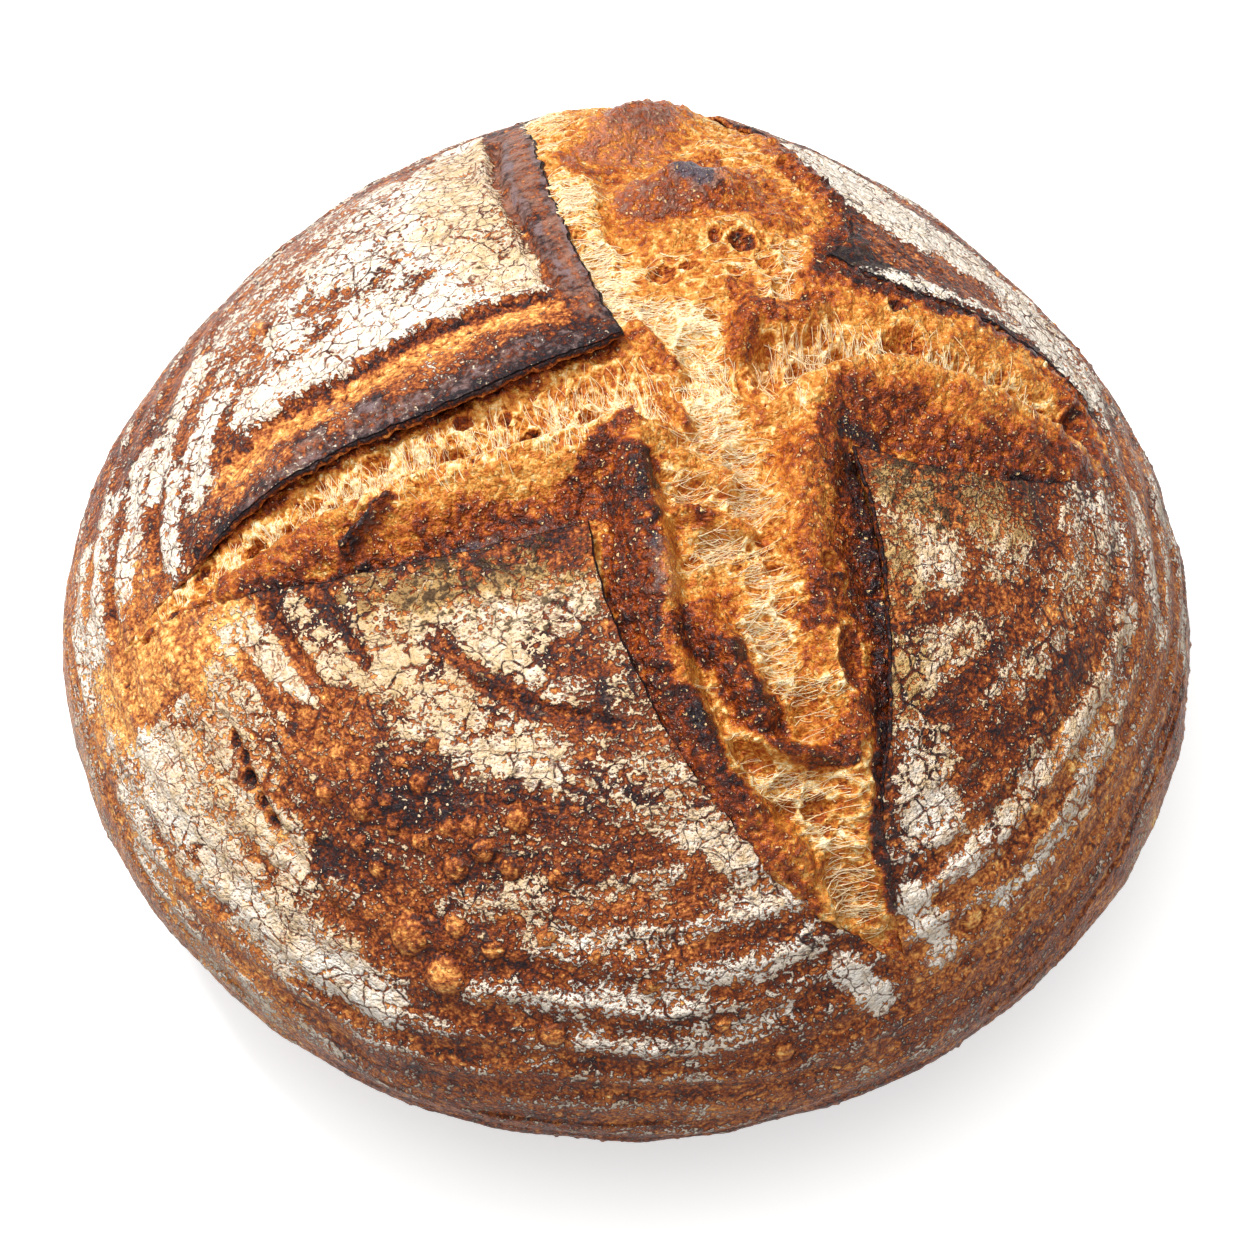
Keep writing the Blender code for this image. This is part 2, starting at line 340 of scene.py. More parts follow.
# The flaps whose grids run the other way round, so that their faces are flipped to look outwards.
FLIPPED_FLAPS = ("front_right", "back_left")


# The unevenness of a torn edge: (how large, how far apart in mm).
RAGGED_NOISE = ((0.6, 6), (0.45, 2.2), (0.3, 1.0))


def growing_shares(count, growth):
    """Shares from 0 to 1 whose last step is growth times the first."""
    steps = np.linspace(1, growth, count)
    return np.r_[0, np.cumsum(steps)] / steps.sum()


def ragged(path, size_mm, seed):
    """The path with its middle stretch made uneven from side to side."""
    along = np.gradient(path, axis=0)
    side = np.stack([-along[:, 1], along[:, 0]], -1) / np.linalg.norm(along, axis=1)[:, None]
    where = loaf_point(path)
    shift = sum(size * noise(where, spread, seed + k) for k, (size, spread) in enumerate(RAGGED_NOISE))
    share = np.linspace(0, 1, len(path))
    shift *= smooth(0, 0.03, share) * smooth(1, 0.9, share)
    return path + side * (shift * size_mm / SHEET_MM)[:, None]


def torn_path(flap, arm, shares):
    """The torn part of a flap's edge on the sheet, from its corner to the arm's tip."""
    points = [FLAP_EDGES[flap]["corner"], *FLAP_EDGES[flap][arm], ARM_TIPS[arm]]
    return smooth_path(sheet_from_plan(points), shares)


def flap_edge(flap, arm):
    """One edge of a flap on the sheet: its torn part, then the seam it shares with its neighbour."""
    torn = torn_path(flap, arm, np.linspace(0, 1, TORN_CELLS + 1))
    torn = ragged(torn, LIPS[flap][arm][-1], len(flap + arm))
    tip = torn[-1]
    outward = tip / np.linalg.norm(tip)
    seam = tip + growing_shares(SEAM_CELLS, SEAM_GROWTH)[1:, None] * (outward - tip)
    return np.concatenate([torn, seam])


def rim_arc(start, end, count):
    """Points along the rim between two of its points, the short way round."""
    first, last = (math.atan2(p[1], p[0]) for p in (start, end))
    turn = (last - first + math.pi) % (2 * math.pi) - math.pi
    bearing = first + np.linspace(0, turn, count + 1)
    return np.stack([np.cos(bearing), np.sin(bearing)], -1)


def patch(first, last, near_edge, far_edge):
    """A grid filled in between four edges: first and last run along axis 0, the others along axis 1."""
    u = np.linspace(0, 1, len(first))[:, None, None]
    v = np.linspace(0, 1, len(near_edge))[None, :, None]
    sides = (1 - v) * first[:, None] + v * last[:, None] + (1 - u) * near_edge[None] + u * far_edge[None]
    corners = (1 - u) * ((1 - v) * near_edge[0] + v * near_edge[-1]) + u * (
        (1 - v) * far_edge[0] + v * far_edge[-1]
    )
    return sides - corners


def flap_sheet(flap):
    """A flap's grid on the sheet. Axis 0 runs out along its side arm, axis 1 along its end arm."""
    end, side = flap.split("_")
    beside, along = flap_edge(flap, side), flap_edge(flap, end)
    arc = rim_arc(beside[-1], along[-1], 2 * FLAP_CELLS)
    return patch(beside, arc[FLAP_CELLS:][::-1], along, arc[: FLAP_CELLS + 1])


# ---------------------------------------------------------------- the crust's fields

# Strokes of how much flour lies on the skin: (value, half width, soft edge, points).
FLOUR_STROKES = (
    # back left flap
    (0.58, 9, 7, (-30, 88), (-38, 66), (-33, 46), (-25, 34)),
    (0.70, 9, 7, (-48, 62), (-49, 42), (-42, 32)),
    (0.75, 5, 4.5, (-73, 11), (-62, 17), (-48, 24), (-32, 28), (-19, 30)),
    (0.5, 5, 6, (-68, 28), (-62, 44), (-52, 72)),
    (0.2, 6, 6, (-80, 20), (-80, 36), (-72, 56), (-62, 74)),
    (0.1, 1.2, 3.5, (-68, 36), (-60, 34), (-50, 36), (-41, 36)),
    (0.3, 0.8, 2.5, (-56, 56), (-49, 46), (-46, 38)),
    (0.55, 1.6, 2.4, (-88, 32), (-91, 20), (-93, 8), (-94, -2)),
    (0.6, 1.9, 2.2, (-82, 16), (-85, 4), (-85, -8)),
    (0.6, 2.0, 2.2, (-90, -2), (-90, -14), (-88, -22)),
    (0.6, 1.8, 2.2, (-97, 12), (-99, -6), (-99, -22)),
    (0.6, 1.8, 2.2, (-104, 4), (-106, -14), (-105, -30)),
    (0.5, 1.8, 2.4, (-109, -4), (-110, -20), (-107, -36)),
    (0.34, 1.8, 3, (-96, 50), (-80, 76), (-56, 98)),
    (0.30, 1.6, 3, (-62, 84), (-44, 98), (-26, 108)),
    # back right flap
    (0.34, 3, 4, (96, 58), (80, 76), (56, 94), (34, 106)),
    (0.36, 1.6, 3, (108, 34), (100, 56), (84, 78)),
    (0.75, 9, 6, (45, 80), (56, 66), (70, 58), (80, 50)),
    (0.7, 2.2, 3, (50, 39.5), (66, 39.5), (82, 37), (94, 27)),
    (0.6, 5, 6, (86, 46), (93, 36)),
    (-0.4, 3.5, 5, (50, 47), (60, 47), (72, 45)),
    # front left flap
    (0.28, 12, 8, (-84, -48), (-78, -58), (-66, -66)),
    (0.75, 3.2, 3, (-74, -42), (-69, -49), (-62, -58)),
    (0.65, 3.5, 3.5, (-63, -42), (-56, -50)),
    (0.74, 5.5, 3.6, (-50, -51), (-42, -57), (-34, -63), (-27, -68)),
    (0.46, 6, 6, (-48, -43), (-30, -47), (-14, -46)),
    (0.58, 5, 5, (-34, -49), (-24, -53), (-14, -59), (-8, -62)),
    (0.20, 9, 8, (-34, -70), (-20, -74), (-6, -76)),
    (0.50, 4, 4, (-36, -66), (-26, -71), (-16, -76)),
    (0.02, 5, 6, (-6, -60), (2, -70), (10, -78)),
    (0.30, 3, 5, (2, -78), (12, -85)),
    (0.60, 2.2, 3, (16, -86), (22, -91)),
    (-0.5, 0.8, 1.6, (-69, -38), (-63, -48), (-55, -62)),
    (-0.4, 0.6, 1.4, (-58, -38), (-54, -46), (-49, -54)),
    (-0.5, 0.8, 1.8, (-36, -52), (-26, -60), (-16, -66), (-2, -69)),
    (-0.4, 0.7, 1.4, (-74, -46), (-68, -54), (-62, -60)),
    (0.65, 4.5, 5, (-93, -50), (-88, -63), (-78, -78), (-64, -92), (-47, -104)),
    (0.35, 3, 4, (-99, -50), (-94, -66), (-84, -82), (-70, -95)),
    (0.55, 2.6, 3, (-77, -58), (-70, -72), (-62, -84)),
    (-0.15, 8, 6, (-56, -70), (-44, -80), (-28, -86), (-12, -90)),
    (0.34, 1.2, 3, (-34, -96), (-22, -95), (-8, -96), (8, -93)),
    (0.38, 1.6, 3.5, (-16, -101), (2, -102), (20, -98), (34, -91)),
    (0.34, 1.6, 3.5, (-30, -106), (-8, -109), (16, -107), (34, -100)),
    (0.30, 1.4, 3, (-10, -114), (12, -114), (30, -109)),
    # front right flap
    (-0.25, 8, 9, (58, -101), (80, -85), (95, -64)),
    (0.36, 6, 6, (54, -21), (58, -36), (56, -50)),
    (0.24, 5, 6, (70, -18), (74, -27), (82, -36)),
    (0.44, 4.5, 5, (54, -60), (56, -68), (58, -76)),
    (0.24, 6, 8, (72, -48), (86, -30), (94, -10)),
    (0.45, 1.2, 2.6, (103, 6), (106, -10), (107, -24)),
    (0.45, 1.2, 2.6, (109, 16), (113, -2), (113, -22)),
    (0.35, 1.4, 3, (99, -28), (95, -46), (88, -60)),
    (0.6, 1.8, 2.6, (54, -90), (60, -95)),
    (0.6, 2.0, 2.4, (42, -102), (48, -104)),
    (0.55, 1.6, 3, (62, -84), (72, -74), (80, -62)),
    (0.55, 1.4, 2.6, (72, -84), (84, -70), (94, -52)),
    (0.5, 1.4, 2.6, (84, -58), (94, -42), (100, -24)),
    (-0.4, 1.2, 2.5, (58, -60), (70, -48), (80, -30)),
    (-0.4, 1.2, 2.5, (64, -70), (78, -54), (90, -36)),
    (-0.4, 1.2, 2.5, (52, -46), (62, -40), (74, -34)),
    # torn places have none
    (-0.9, 5, 4, (-96, -44), (-86, -42)),
    (-1.0, 3.0, 2.0, (-9, 19), (-13, 34), (-18, 50), (-22, 64), (-25, 80), (-27, 94)),
    (-1.0, 2.2, 1.6, (-77, -4), (-66, 3), (-57, 6), (-48, 11), (-38, 16), (-28, 19.5), (-18, 22)),
    (-1.0, 5, 4, (-98, -36), (-88, -37)),
)

# Strokes of how toasted the flour is: 0 is white, 1 is olive.
TOAST_STROKES = (
    (0.22, 40, 20, (-50, -60), (-10, -60)),
    (0.34, 5, 6, (-58, -44), (-46, -54), (-34, -60)),
    (0.26, 8, 8, (-30, 80), (-32, 56), (-22, 36)),
    (0.85, 4, 5, (-56, -38), (-30, -39), (-12, -36)),
    (0.22, 30, 20, (70, -40)),
    (0.8, 4, 6, (47, -16), (62, -16), (74, -14)),
    (0.6, 3, 4, (50, -30), (52, -60)),
)

# Strokes of charred specks.
CHAR_STROKES = (
    (0.55, 6, 5, (-36, -42), (-24, -44), (-12, -42)),
    (0.9, 2.5, 4, (-37, -38.5), (-29, -40)),
    (0.8, 1.6, 3, (-19, -38), (-14, -36)),
    (0.5, 3, 4, (-10, -38), (-8, -46)),
    (0.9, 4, 5, (52, -15), (61, -18)),
    (0.6, 2, 3, (70, -14), (80, -10)),
    (0.9, 3, 4, (45, 44), (50, 41)),
    (0.3, 3, 4, (-28, 31), (-20, 34)),
)

# Strokes of how far the bare skin is baked: 0 is pale crumb, 1 is black.
BAKE_STROKES = (
    (0.45, 12, 12, (-112, -20), (-108, -44), (-94, -70), (-74, -92)),
    (0.36, 7, 8, (-100, -44), (-92, -52)),
    (0.50, 8, 8, (-84, -48), (-78, -62), (-70, -74)),
    (0.24, 6, 8, (-100, -38), (-88, -38), (-80, -40)),
    (0.40, 5, 6, (-96, -22), (-98, -30)),
    (0.70, 8, 7, (-52, -76), (-40, -79), (-14, -86)),
    (0.52, 5, 6, (-66, -52), (-60, -62), (-56, -66)),
    (0.78, 3, 5, (-42, -79), (-35, -80)),
    (0.60, 8, 8, (-70, 60), (-78, 40)),
    (0.46, 8, 10, (62, -92), (80, -76), (94, -56)),
    (0.52, 7, 8, (104, -36), (108, -10), (106, 16)),
    (0.52, 4, 4, (-76, -12), (-62, -2), (-44, 8), (-28, 16), (-12, 21)),
    (0.64, 1.8, 2.6, (-72, -14), (-54, -6), (-37, 0.5), (-20, 8), (-6, 14)),
    (0.70, 4, 4, (-8, 24), (-15, 45), (-21, 62), (-23, 90)),
    (0.88, 1.8, 3, (-36, 0), (-24, 6), (-8, 13.5)),
    (0.88, 0.6, 1.2, (-11, 25), (-16, 38), (-20, 50), (-24, 64), (-26, 84)),
    (0.90, 0.5, 1.4, (-3, 16), (-8, 28), (-13, 45), (-17, 62), (-20, 80), (-22, 95)),
    (0.97, 0.7, 1.8, (-78, -19), (-70, -15), (-54, -8), (-36, -2.5), (-18, 6), (-3, 12.5)),
    (0.86, 0.8, 2.2, (-74, -15.5), (-60, -8.5), (-46, -2.5), (-34, 2), (-20, 8.5)),
    (0.93, 1.2, 2.0, (-51, 0), (-48, 1)),
    (0.88, 0.8, 2.0, (-63, -5), (-59, -4)),
    (0.29, 2.6, 2.6, (-78, -7), (-66, 1.5), (-57, 5), (-48, 9.5), (-38, 14), (-28, 17.5), (-18, 20.5)),
    (0.72, 0.4, 0.8, (-66, 6.5), (-55, 11.5), (-46, 15.5), (-38, 19.2), (-26, 22.3), (-15, 24)),
    (0.95, 2.6, 3, (42, 41), (48, 41), (54, 38.5)),
    (0.85, 1.4, 2, (54, 37), (70, 36), (84, 32), (94, 22)),
    (0.8, 1.6, 2.5, (47, 50), (45, 60), (37, 76)),
)

# Strokes that raise or sink the skin (mm), such as tears, their lips and folds.
RELIEF_STROKES = (
    (-1.2, 2.0, 1.4, (-76, -3), (-66, 4), (-57, 8), (-48, 12), (-38, 17), (-28, 20), (-18, 22.5)),
    (1.1, 1.0, 1.3, (-74, 5), (-66, 8.5), (-55, 13.5), (-46, 17.5), (-38, 21), (-26, 24.2), (-14, 25.5)),
    (0.9, 3.2, 3, (-66, -6), (-52, 1), (-38, 8), (-24, 14), (-10, 20)),
    (-2.0, 0.8, 1.4, (-15, 27), (-19, 36), (-21, 45), (-24, 54), (-27, 64), (-28, 84)),
    (0.8, 1.2, 1.8, (-18, 31), (-22.5, 45), (-26, 56), (-29, 66), (-31, 88)),
    (-0.9, 0.7, 1.0, (-69, -38), (-63, -48), (-55, -62)),
    (-0.6, 0.6, 0.9, (-58, -38), (-54, -46), (-49, -54)),
    (-0.9, 0.8, 1.1, (-36, -56), (-26, -62), (-16, -66), (-2, -69)),
    (-1.0, 0.7, 1.2, (-77, -56), (-73, -64), (-68, -74), (-60, -86), (-54, -93)),
    (-0.7, 0.7, 1.1, (-84, 12), (-86, 0), (-84, -12)),
    (-0.7, 0.7, 1.1, (-94, 4), (-94, -8), (-92, -20)),
    (-0.7, 0.7, 1.1, (-102, -4), (-102, -16), (-101, -30)),
    (0.8, 3.5, 3, (-90, -40), (-80, -46)),
    (0.9, 6, 7, (-46, -74), (-28, -82)),
    (-0.6, 0.6, 1.0, (50, -44), (56, -43), (62, -47)),
)

# Blisters: (x, y, radius, height), in mm.
BLISTERS = (
    (-57, -74, 2.0, 1.0), (-50, -78, 2.3, 1.1), (-55, -68, 1.5, 0.7), (-42, -72, 1.5, 0.8),
    (-38.5, -76, 2.2, 1.0), (-45, -77.5, 1.6, 0.8), (-44, -82, 1.6, 0.9), (-50.5, -83, 1.9, 1.0),
    (-47, -87.5, 1.9, 1.0), (-38.5, -85, 1.9, 1.0), (-33.5, -83.5, 1.6, 0.8), (-29, -84, 1.8, 0.9),
    (-20, -84, 2.4, 1.2), (-26.5, -88, 2.3, 1.2), (-32, -90, 2.5, 1.3), (-21.5, -91, 2.2, 1.2),
    (-13, -93, 1.8, 0.9), (-41, -98, 3.9, 1.4), (-34, -104, 4.0, 1.6), (-32, -98, 2.2, 0.9),
    (-25, -102, 2.0, 0.8), (-15, -101, 2.0, 0.8), (-14, -113, 2.7, 1.0), (-54, -80, 1.2, 0.7),
    (-36, -70, 1.2, 0.6), (-60, -80, 1.3, 0.6), (-75, 34, 2.4, 0.9), (-58, -64, 1.2, 0.6),
    (-66, -78, 1.2, 0.6), (66, -89, 2.2, 0.8), (4, -108, 1.6, 0.7), (30, -113, 2.2, 0.8),
    (78, -70, 1.4, 0.6), (-84, -30, 1.2, 0.6), (36, -50, 1.5, 0.8), (-6, -104, 1.4, 0.7),
    (18, -112, 1.6, 0.7), (46, -96, 1.2, 0.6), (72, -94, 1.3, 0.6), (86, -60, 1.3, 0.6),
)

# Small torn pits in the skin: (x, y, radius across, radius along, degrees turned, depth), in mm.
PITS = (
    (-67, 2, 1.1, 1.9, 40, 1.5), (-63.5, 4, 0.9, 1.5, 35, 1.2), (-59, 6.2, 1.1, 1.8, 30, 1.4),
    (-55.5, 5, 0.8, 1.1, 30, 1.0), (-54, 8.6, 0.8, 1.3, 30, 1.0), (-49.5, 9.4, 1.5, 2.4, 28, 1.8),
    (-45, 11.4, 0.9, 1.3, 25, 1.1), (-41, 13, 1.0, 1.7, 25, 1.2), (-43, 9.4, 0.7, 1.0, 25, 0.9),
    (-36.5, 14.6, 0.9, 1.4, 20, 1.1), (-30.5, 17.4, 1.4, 2.6, 18, 1.7), (-25, 18.2, 1.0, 1.5, 10, 1.2),
    (-33.5, 13.8, 0.7, 1.0, 20, 0.9), (-21, 19.8, 0.8, 1.3, 10, 1.0), (-71, -1.2, 1.0, 1.4, 45, 1.0),
    (-79, -8, 0.9, 1.6, 75, 1.3), (-79, -2, 0.7, 1.2, 75, 1.0), (-75, 0, 0.8, 1.0, 60, 1.0),
    (-77, -28, 0.9, 1.5, 60, 1.2), (-81, -25, 1.2, 1.9, 70, 1.4), (-83, -22, 0.7, 1.2, 70, 0.9),
    (-94, -34, 1.0, 1.3, 30, 1.2), (-88, -32, 0.9, 1.4, 60, 1.1), (-91, -38, 0.6, 0.9, 60, 0.8),
    (-98, -40, 0.6, 0.9, 60, 0.8), (-75, -60, 0.8, 1.8, -62, 1.2), (-73, -63.5, 0.9, 1.5, -60, 1.3),
    (-72, -67.5, 1.2, 1.9, -60, 1.7), (-69.5, -71.5, 0.9, 1.5, -60, 1.2), (-67.5, -75, 0.8, 1.6, -55, 1.2),
)

# Strokes of how far the flour is cracked into plates.
CRACK_STROKES = (
    (1.0, 30, 15, (-60, -60), (-10, -60)),
    (0.6, 22, 12, (62, -70), (80, -40)),
    (0.15, 12, 8, (60, -22)),
    (0.3, 30, 20, (-60, 30)),
)

# Strokes of ashy bloom on burnt skin, which also paint the pale sheen that light gives burnt skin.
ASH_AND_SHEEN_STROKES = (
    (0.25, 1.8, 2.6, (-70, -13), (-54, -5), (-37, 1), (-20, 8.5), (-6, 14.5)),
    (0.45, 0.8, 2.2, (-74, -15.5), (-60, -8.5), (-46, -2.5), (-34, 2), (-20, 8.5)),
    (0.6, 0.8, 2.2, (-51, -1), (-48, 0)),
    (0.45, 0.8, 2.4, (-63, -6), (-59, -5)),
    (0.6, 4, 4, (-8, 24), (-15, 45), (-21, 62), (-23, 90)),
    (0.3, 8, 10, (-72, 40), (-66, 60)),
)

# The fields that strokes alone make: what they are elsewhere, and their strokes.
SKIN_LAYERS = {
    "toast": (0.0, TOAST_STROKES),
    "char": (0.0, CHAR_STROKES),
    "ash_and_sheen": (0.0, ASH_AND_SHEEN_STROKES),
    "cracks": (0.3, CRACK_STROKES),
}

RING_MM = 9.5
FLOUR_BASE = -0.3
SKIN_BAKE = 0.66
# About how many mm of skin there are to each radian down from the top.
SKIN_MM_PER_RADIAN = 97
# Nearer to the axis than this, streaks keep their length instead of closing up.
STREAK_LEAST_RADIUS = 45 * MM


def ring_place(plain):
    """How far down from the loaf's top each point is, as an angle and in mm along the skin, and its
    place in a space whose first two axes run round the loaf and whose third runs down the skin."""
    out = np.clip(np.hypot(plain[:, 0] / HALF_WIDTH, plain[:, 1] / HALF_DEPTH), 0, 1)
    angle = np.where(plain[:, 2] > WAIST_HEIGHT, np.arcsin(out), math.pi - np.arcsin(out))
    down = angle * SKIN_MM_PER_RADIAN + 3.0 * noise(plain, 38, 71) + 1.2 * noise(plain, 9, 72)
    bearing = np.arctan2(plain[:, 1], plain[:, 0])
    radius = np.hypot(plain[:, 0], plain[:, 1]).clip(STREAK_LEAST_RADIUS)
    place = np.stack([np.cos(bearing) * radius, np.sin(bearing) * radius, down * MM], -1)
    return angle, down, place


def ring_streaks(ringed, width_mm, length_mm, seed):
    """Noise drawn out into streaks that run round the loaf, as the basket's rings do."""
    return noise(ringed * (width_mm / length_mm, width_mm / length_mm, 1), width_mm, seed)


def swell(plain):
    """The loaf's slow unevenness, in mm."""
    return 1.0 * noise(plain, 48, 21) + 0.5 * noise(plain, 15, 22)


def add_relief(level, plain, fray):
    for height, half_width, soft, *path in RELIEF_STROKES:
        chosen, distance, _, _ = near_stroke(plain, path, half_width + 2 * soft)
        distance = distance + 0.4 * fray[chosen] * soft
        level[chosen] += height * smooth(half_width + soft, half_width * 0.5, distance)


def add_blisters(level, bake, flour, plain):
    """Domes with a slight moat, paler and barer than the skin around them."""
    for x, y, radius, height in BLISTERS:
        centre = loaf_point(sheet_from_plan((x, y)))
        distance = np.linalg.norm(plain - centre, axis=-1) / (radius * MM)
        dome = np.sqrt(np.clip(1 - distance * distance, 0, 1))
        level += height * dome - 0.2 * band(distance, 1.15, 0.2)
        bake -= 0.24 * smooth(1.0, 0.75, distance)
        flour -= 0.5 * smooth(1.3, 0.8, distance)


def add_pits(level, bake, flour, plain):
    """Pits with a raised rim, dark inside and bare around."""
    for *oval, depth in PITS:
        distance = oval_distance(plain, *oval) * (1 + 0.15 * noise(plain, 2, 37))
        level += 0.35 * band(distance, 1.15, 0.2) - depth * smooth(1.0, 0.4, distance)
        bake += 0.32 * smooth(0.95, 0.6, distance) - 0.12 * band(distance, 1.15, 0.25)
        flour -= 1.0 * smooth(1.5, 1.0, distance)


def add_pimples(level, bake, flour, plain):
    """Many tiny blisters on the bare skin."""
    first, _ = cells(plain, 2.6, 35)
    tiny = smooth(0.32, 0.12, first) * smooth(-0.1, 0.4, noise(plain, 12, 36)) * smooth(0.2, -0.1, flour)
    level += 0.35 * tiny
    bake -= 0.16 * tiny


def skin_fields(plain):
    """The skin's level over the plain loaf in mm, and the fields that its material reads."""
    angle, down, ringed = ring_place(plain)
    flank, under = smooth(0.7, 1.1, angle), smooth(1.75, 2.2, angle)
    ring = np.cos(down * 2 * math.pi / RING_MM)
    fray = fraying(plain, 301)
    streak = ring_streaks(ringed, 2.6, 14, 91)

    patchy = smooth(-0.7, 0.5, noise(plain, 22, 4))
    flour = FLOUR_BASE + flank * (1 - under) * (0.34 * ring * patchy + 0.16)
    flour += 0.22 * noise(plain, 20, 3) * flank
    flour = paint(flour, plain, FLOUR_STROKES, fray)
    flour += 0.16 * streak + 0.12 * noise(plain, 6, 93) - 0.3 * smooth(1.5, 2.0, angle)
    # the bare skin is paler on the flanks and darker down the lower flank to the base, where the darkening
    # is painted shade
    bake = SKIN_BAKE - 0.09 * smooth(1.0, 1.4, angle) + 0.15 * smooth(1.55, 1.95, angle)
    bake += 0.07 * noise(plain, 26, 5) + 0.06 * noise(plain, 8, 6) + 0.04 * streak
    bake = paint(bake, plain, BAKE_STROKES, fray)

    level = swell(plain) + 0.22 * rough(plain, 5, 23)
    level += 0.30 * ring * flank * (1 - under) + 0.14 * streak + 0.12 * noise(plain, 1.4, 24)
    add_relief(level, plain, fray)
    level += 0.3 * smooth(0.1, 0.6, flour)
    for add in (add_blisters, add_pits, add_pimples):
        add(level, bake, flour, plain)
    level *= 1 - smooth(BASE_ANGLE - 0.25, BASE_ANGLE, angle)
    fields = {"flour": flour, "bake": bake, "ring": ringed}
    for key, (elsewhere, strokes) in SKIN_LAYERS.items():
        fields[key] = paint(np.full(len(plain), elsewhere), plain, strokes, fray)
    return level, fields


# ---------------------------------------------------------------- the flaps of crust

# How far from an arm's tip, in mm, a lip has its full thickness.
LIP_CLOSES_MM = 4
# A lip's direction and thickness are evened out over this many points each way.
LIP_EVENING = 9
THIN_LIP_BAKE = 0.42
# Only every so many points of a torn edge are used to find how near the skin is to it.
EDGE_SKIP = 5


def unit(vectors):
    """The vectors with a length of 1."""
    return vectors / np.maximum(np.linalg.norm(vectors, axis=-1, keepdims=True), 1e-12)


def grid_faces(index, flip):
    """The four-sided faces of a grid, from the number of the point at each of its places."""
    faces = np.stack([index[:-1, :-1], index[1:, :-1], index[1:, 1:], index[:-1, 1:]], -1).reshape(-1, 4)
    return faces[:, ::-1] if flip else faces


def edge_frame(line, normal, towards):
    """The direction over the opening at each point of an edge, along the skin."""
    along = unit(np.gradient(line, axis=0))
    over = unit(np.cross(normal, along))
    return over * np.sign((over * (towards - line)).sum(-1))[:, None]


def lean_and_lift(name, plain, normal):
    """How far a flap's torn edges shift its points, how far they lift them in mm, and each edge's lip:
    its direction over the opening, its thickness in mm and how open the tear is there."""
    end, side = name.split("_")
    shape = plain.shape[:2]
    flat = plain.reshape(-1, 3)
    moved = np.zeros_like(plain)
    lift_total = np.zeros(shape)
    centre = loaf_point(sheet_from_plan(CROSSING))
    lips = {}
    for arm, cut in ((side, np.s_[: TORN_CELLS + 1, 0]), (end, np.s_[0, : TORN_CELLS + 1])):
        lift, lean, reach, thick, _ = LIPS[name][arm]
        line = plain[cut]
        off_tip = np.linalg.norm(line - line[-1], axis=-1) / MM
        open_share = smooth(*TIP_FADE[arm], off_tip)
        middle = loaf_point(sheet_from_plan(ARM_TIPS[arm])) * 0.5 + centre * 0.5
        over = edge_frame(line, normal[cut], middle)
        thickness = smooth(0, LIP_CLOSES_MM, off_tip) * (1.0 + (thick - 1.0) * open_share)
        lips[arm] = (over, thickness, open_share)
        pull = np.concatenate([over * lean, lift + 0 * open_share[:, None], open_share[:, None]], 1)
        chosen = near(flat, line, reach * 2.6)
        distance, _, values = nearest_on(flat[chosen], line[::EDGE_SKIP], pull[::EDGE_SKIP])
        share = np.exp(-((distance / reach) ** 2)) * values[:, 4]
        wobble = 1 + 0.35 * noise(flat[chosen], 14, 41) + 0.2 * noise(flat[chosen], 5, 42)
        lifted = np.zeros(len(flat))
        lifted[chosen] = values[:, 3] * share * wobble
        lift_total = np.maximum(lift_total, lifted.reshape(shape))
        shift = np.zeros((len(flat), 3))
        shift[chosen] = values[:, :3] * (share * wobble)[:, None] * MM
        moved += shift.reshape(plain.shape)
    return moved, lift_total, lips


def lip_rows(edge, up, over, thickness, open_share):
    """The rows of points that carry a torn edge over, down and back under, and where it is thin."""
    over = unit(smooth_rows(over, LIP_EVENING))
    thick = smooth_rows(thickness[:, None], LIP_EVENING)
    thin = smooth(0.5, 0.0, smooth_rows(open_share[:, None], LIP_EVENING)[:, 0])
    thick = thick * (1 + 0.3 * noise(edge, 4, 51) + 0.2 * noise(edge, 1.5, 52))[:, None] * MM
    return [edge + thick * (a * over + b * up) for a, b in LIP_SECTION], thin


def flap(name):
    """One flap's points, faces, fields and the indices of its two seams."""
    sheet = flap_sheet(name)
    plain, normal = loaf_point(sheet), loaf_normal(sheet)
    end, side = name.split("_")
    size = len(sheet)
    level, fields = skin_fields(plain.reshape(-1, 3))
    moved, lift, lips = lean_and_lift(name, plain, normal)
    points = plain + normal * ((level.reshape(size, size) + lift) * MM)[..., None] + moved

    # the torn edge runs in along the side arm, round the flap's corner and out along the end arm
    torn = [(k, 0) for k in range(TORN_CELLS, 0, -1)] + [(0, k) for k in range(TORN_CELLS + 1)]
    rows, columns = np.array(torn).T
    lip = [np.concatenate([one[:0:-1], two]) for one, two in zip(lips[side], lips[end])]
    skirt, thin = lip_rows(points[rows, columns], normal[rows, columns], *lip)
    flip = name in FLIPPED_FLAPS
    grid = np.arange(size * size).reshape(size, size)
    numbers = size * size + np.arange(len(skirt) * len(torn)).reshape(len(skirt), -1)
    strips = np.concatenate([(rows * size + columns)[None], numbers])
    upper, lower = strips[:-1], strips[1:]
    lip_faces = np.stack([upper[:, :-1], upper[:, 1:], lower[:, 1:], lower[:, :-1]], -1).reshape(-1, 4)
    faces = np.concatenate([grid_faces(grid, flip), lip_faces if flip else lip_faces[:, ::-1]])

    lip_bake = (np.array(LIP_BAKE[end])[:, None] * (1 - thin) + THIN_LIP_BAKE * thin).ravel()
    none = np.zeros(len(lip_bake))
    lip_fields = {"flour": none - 1, "bake": lip_bake, "ring": np.concatenate(skirt)}
    fields = {key: np.concatenate([value, lip_fields.get(key, none)]) for key, value in fields.items()}
    points = np.concatenate([points.reshape(-1, 3), *skirt])
    seam = {side: grid[TORN_CELLS:, 0], end: grid[0, TORN_CELLS:]}
    return {"points": points, "faces": faces, "fields": fields, "seam": seam}


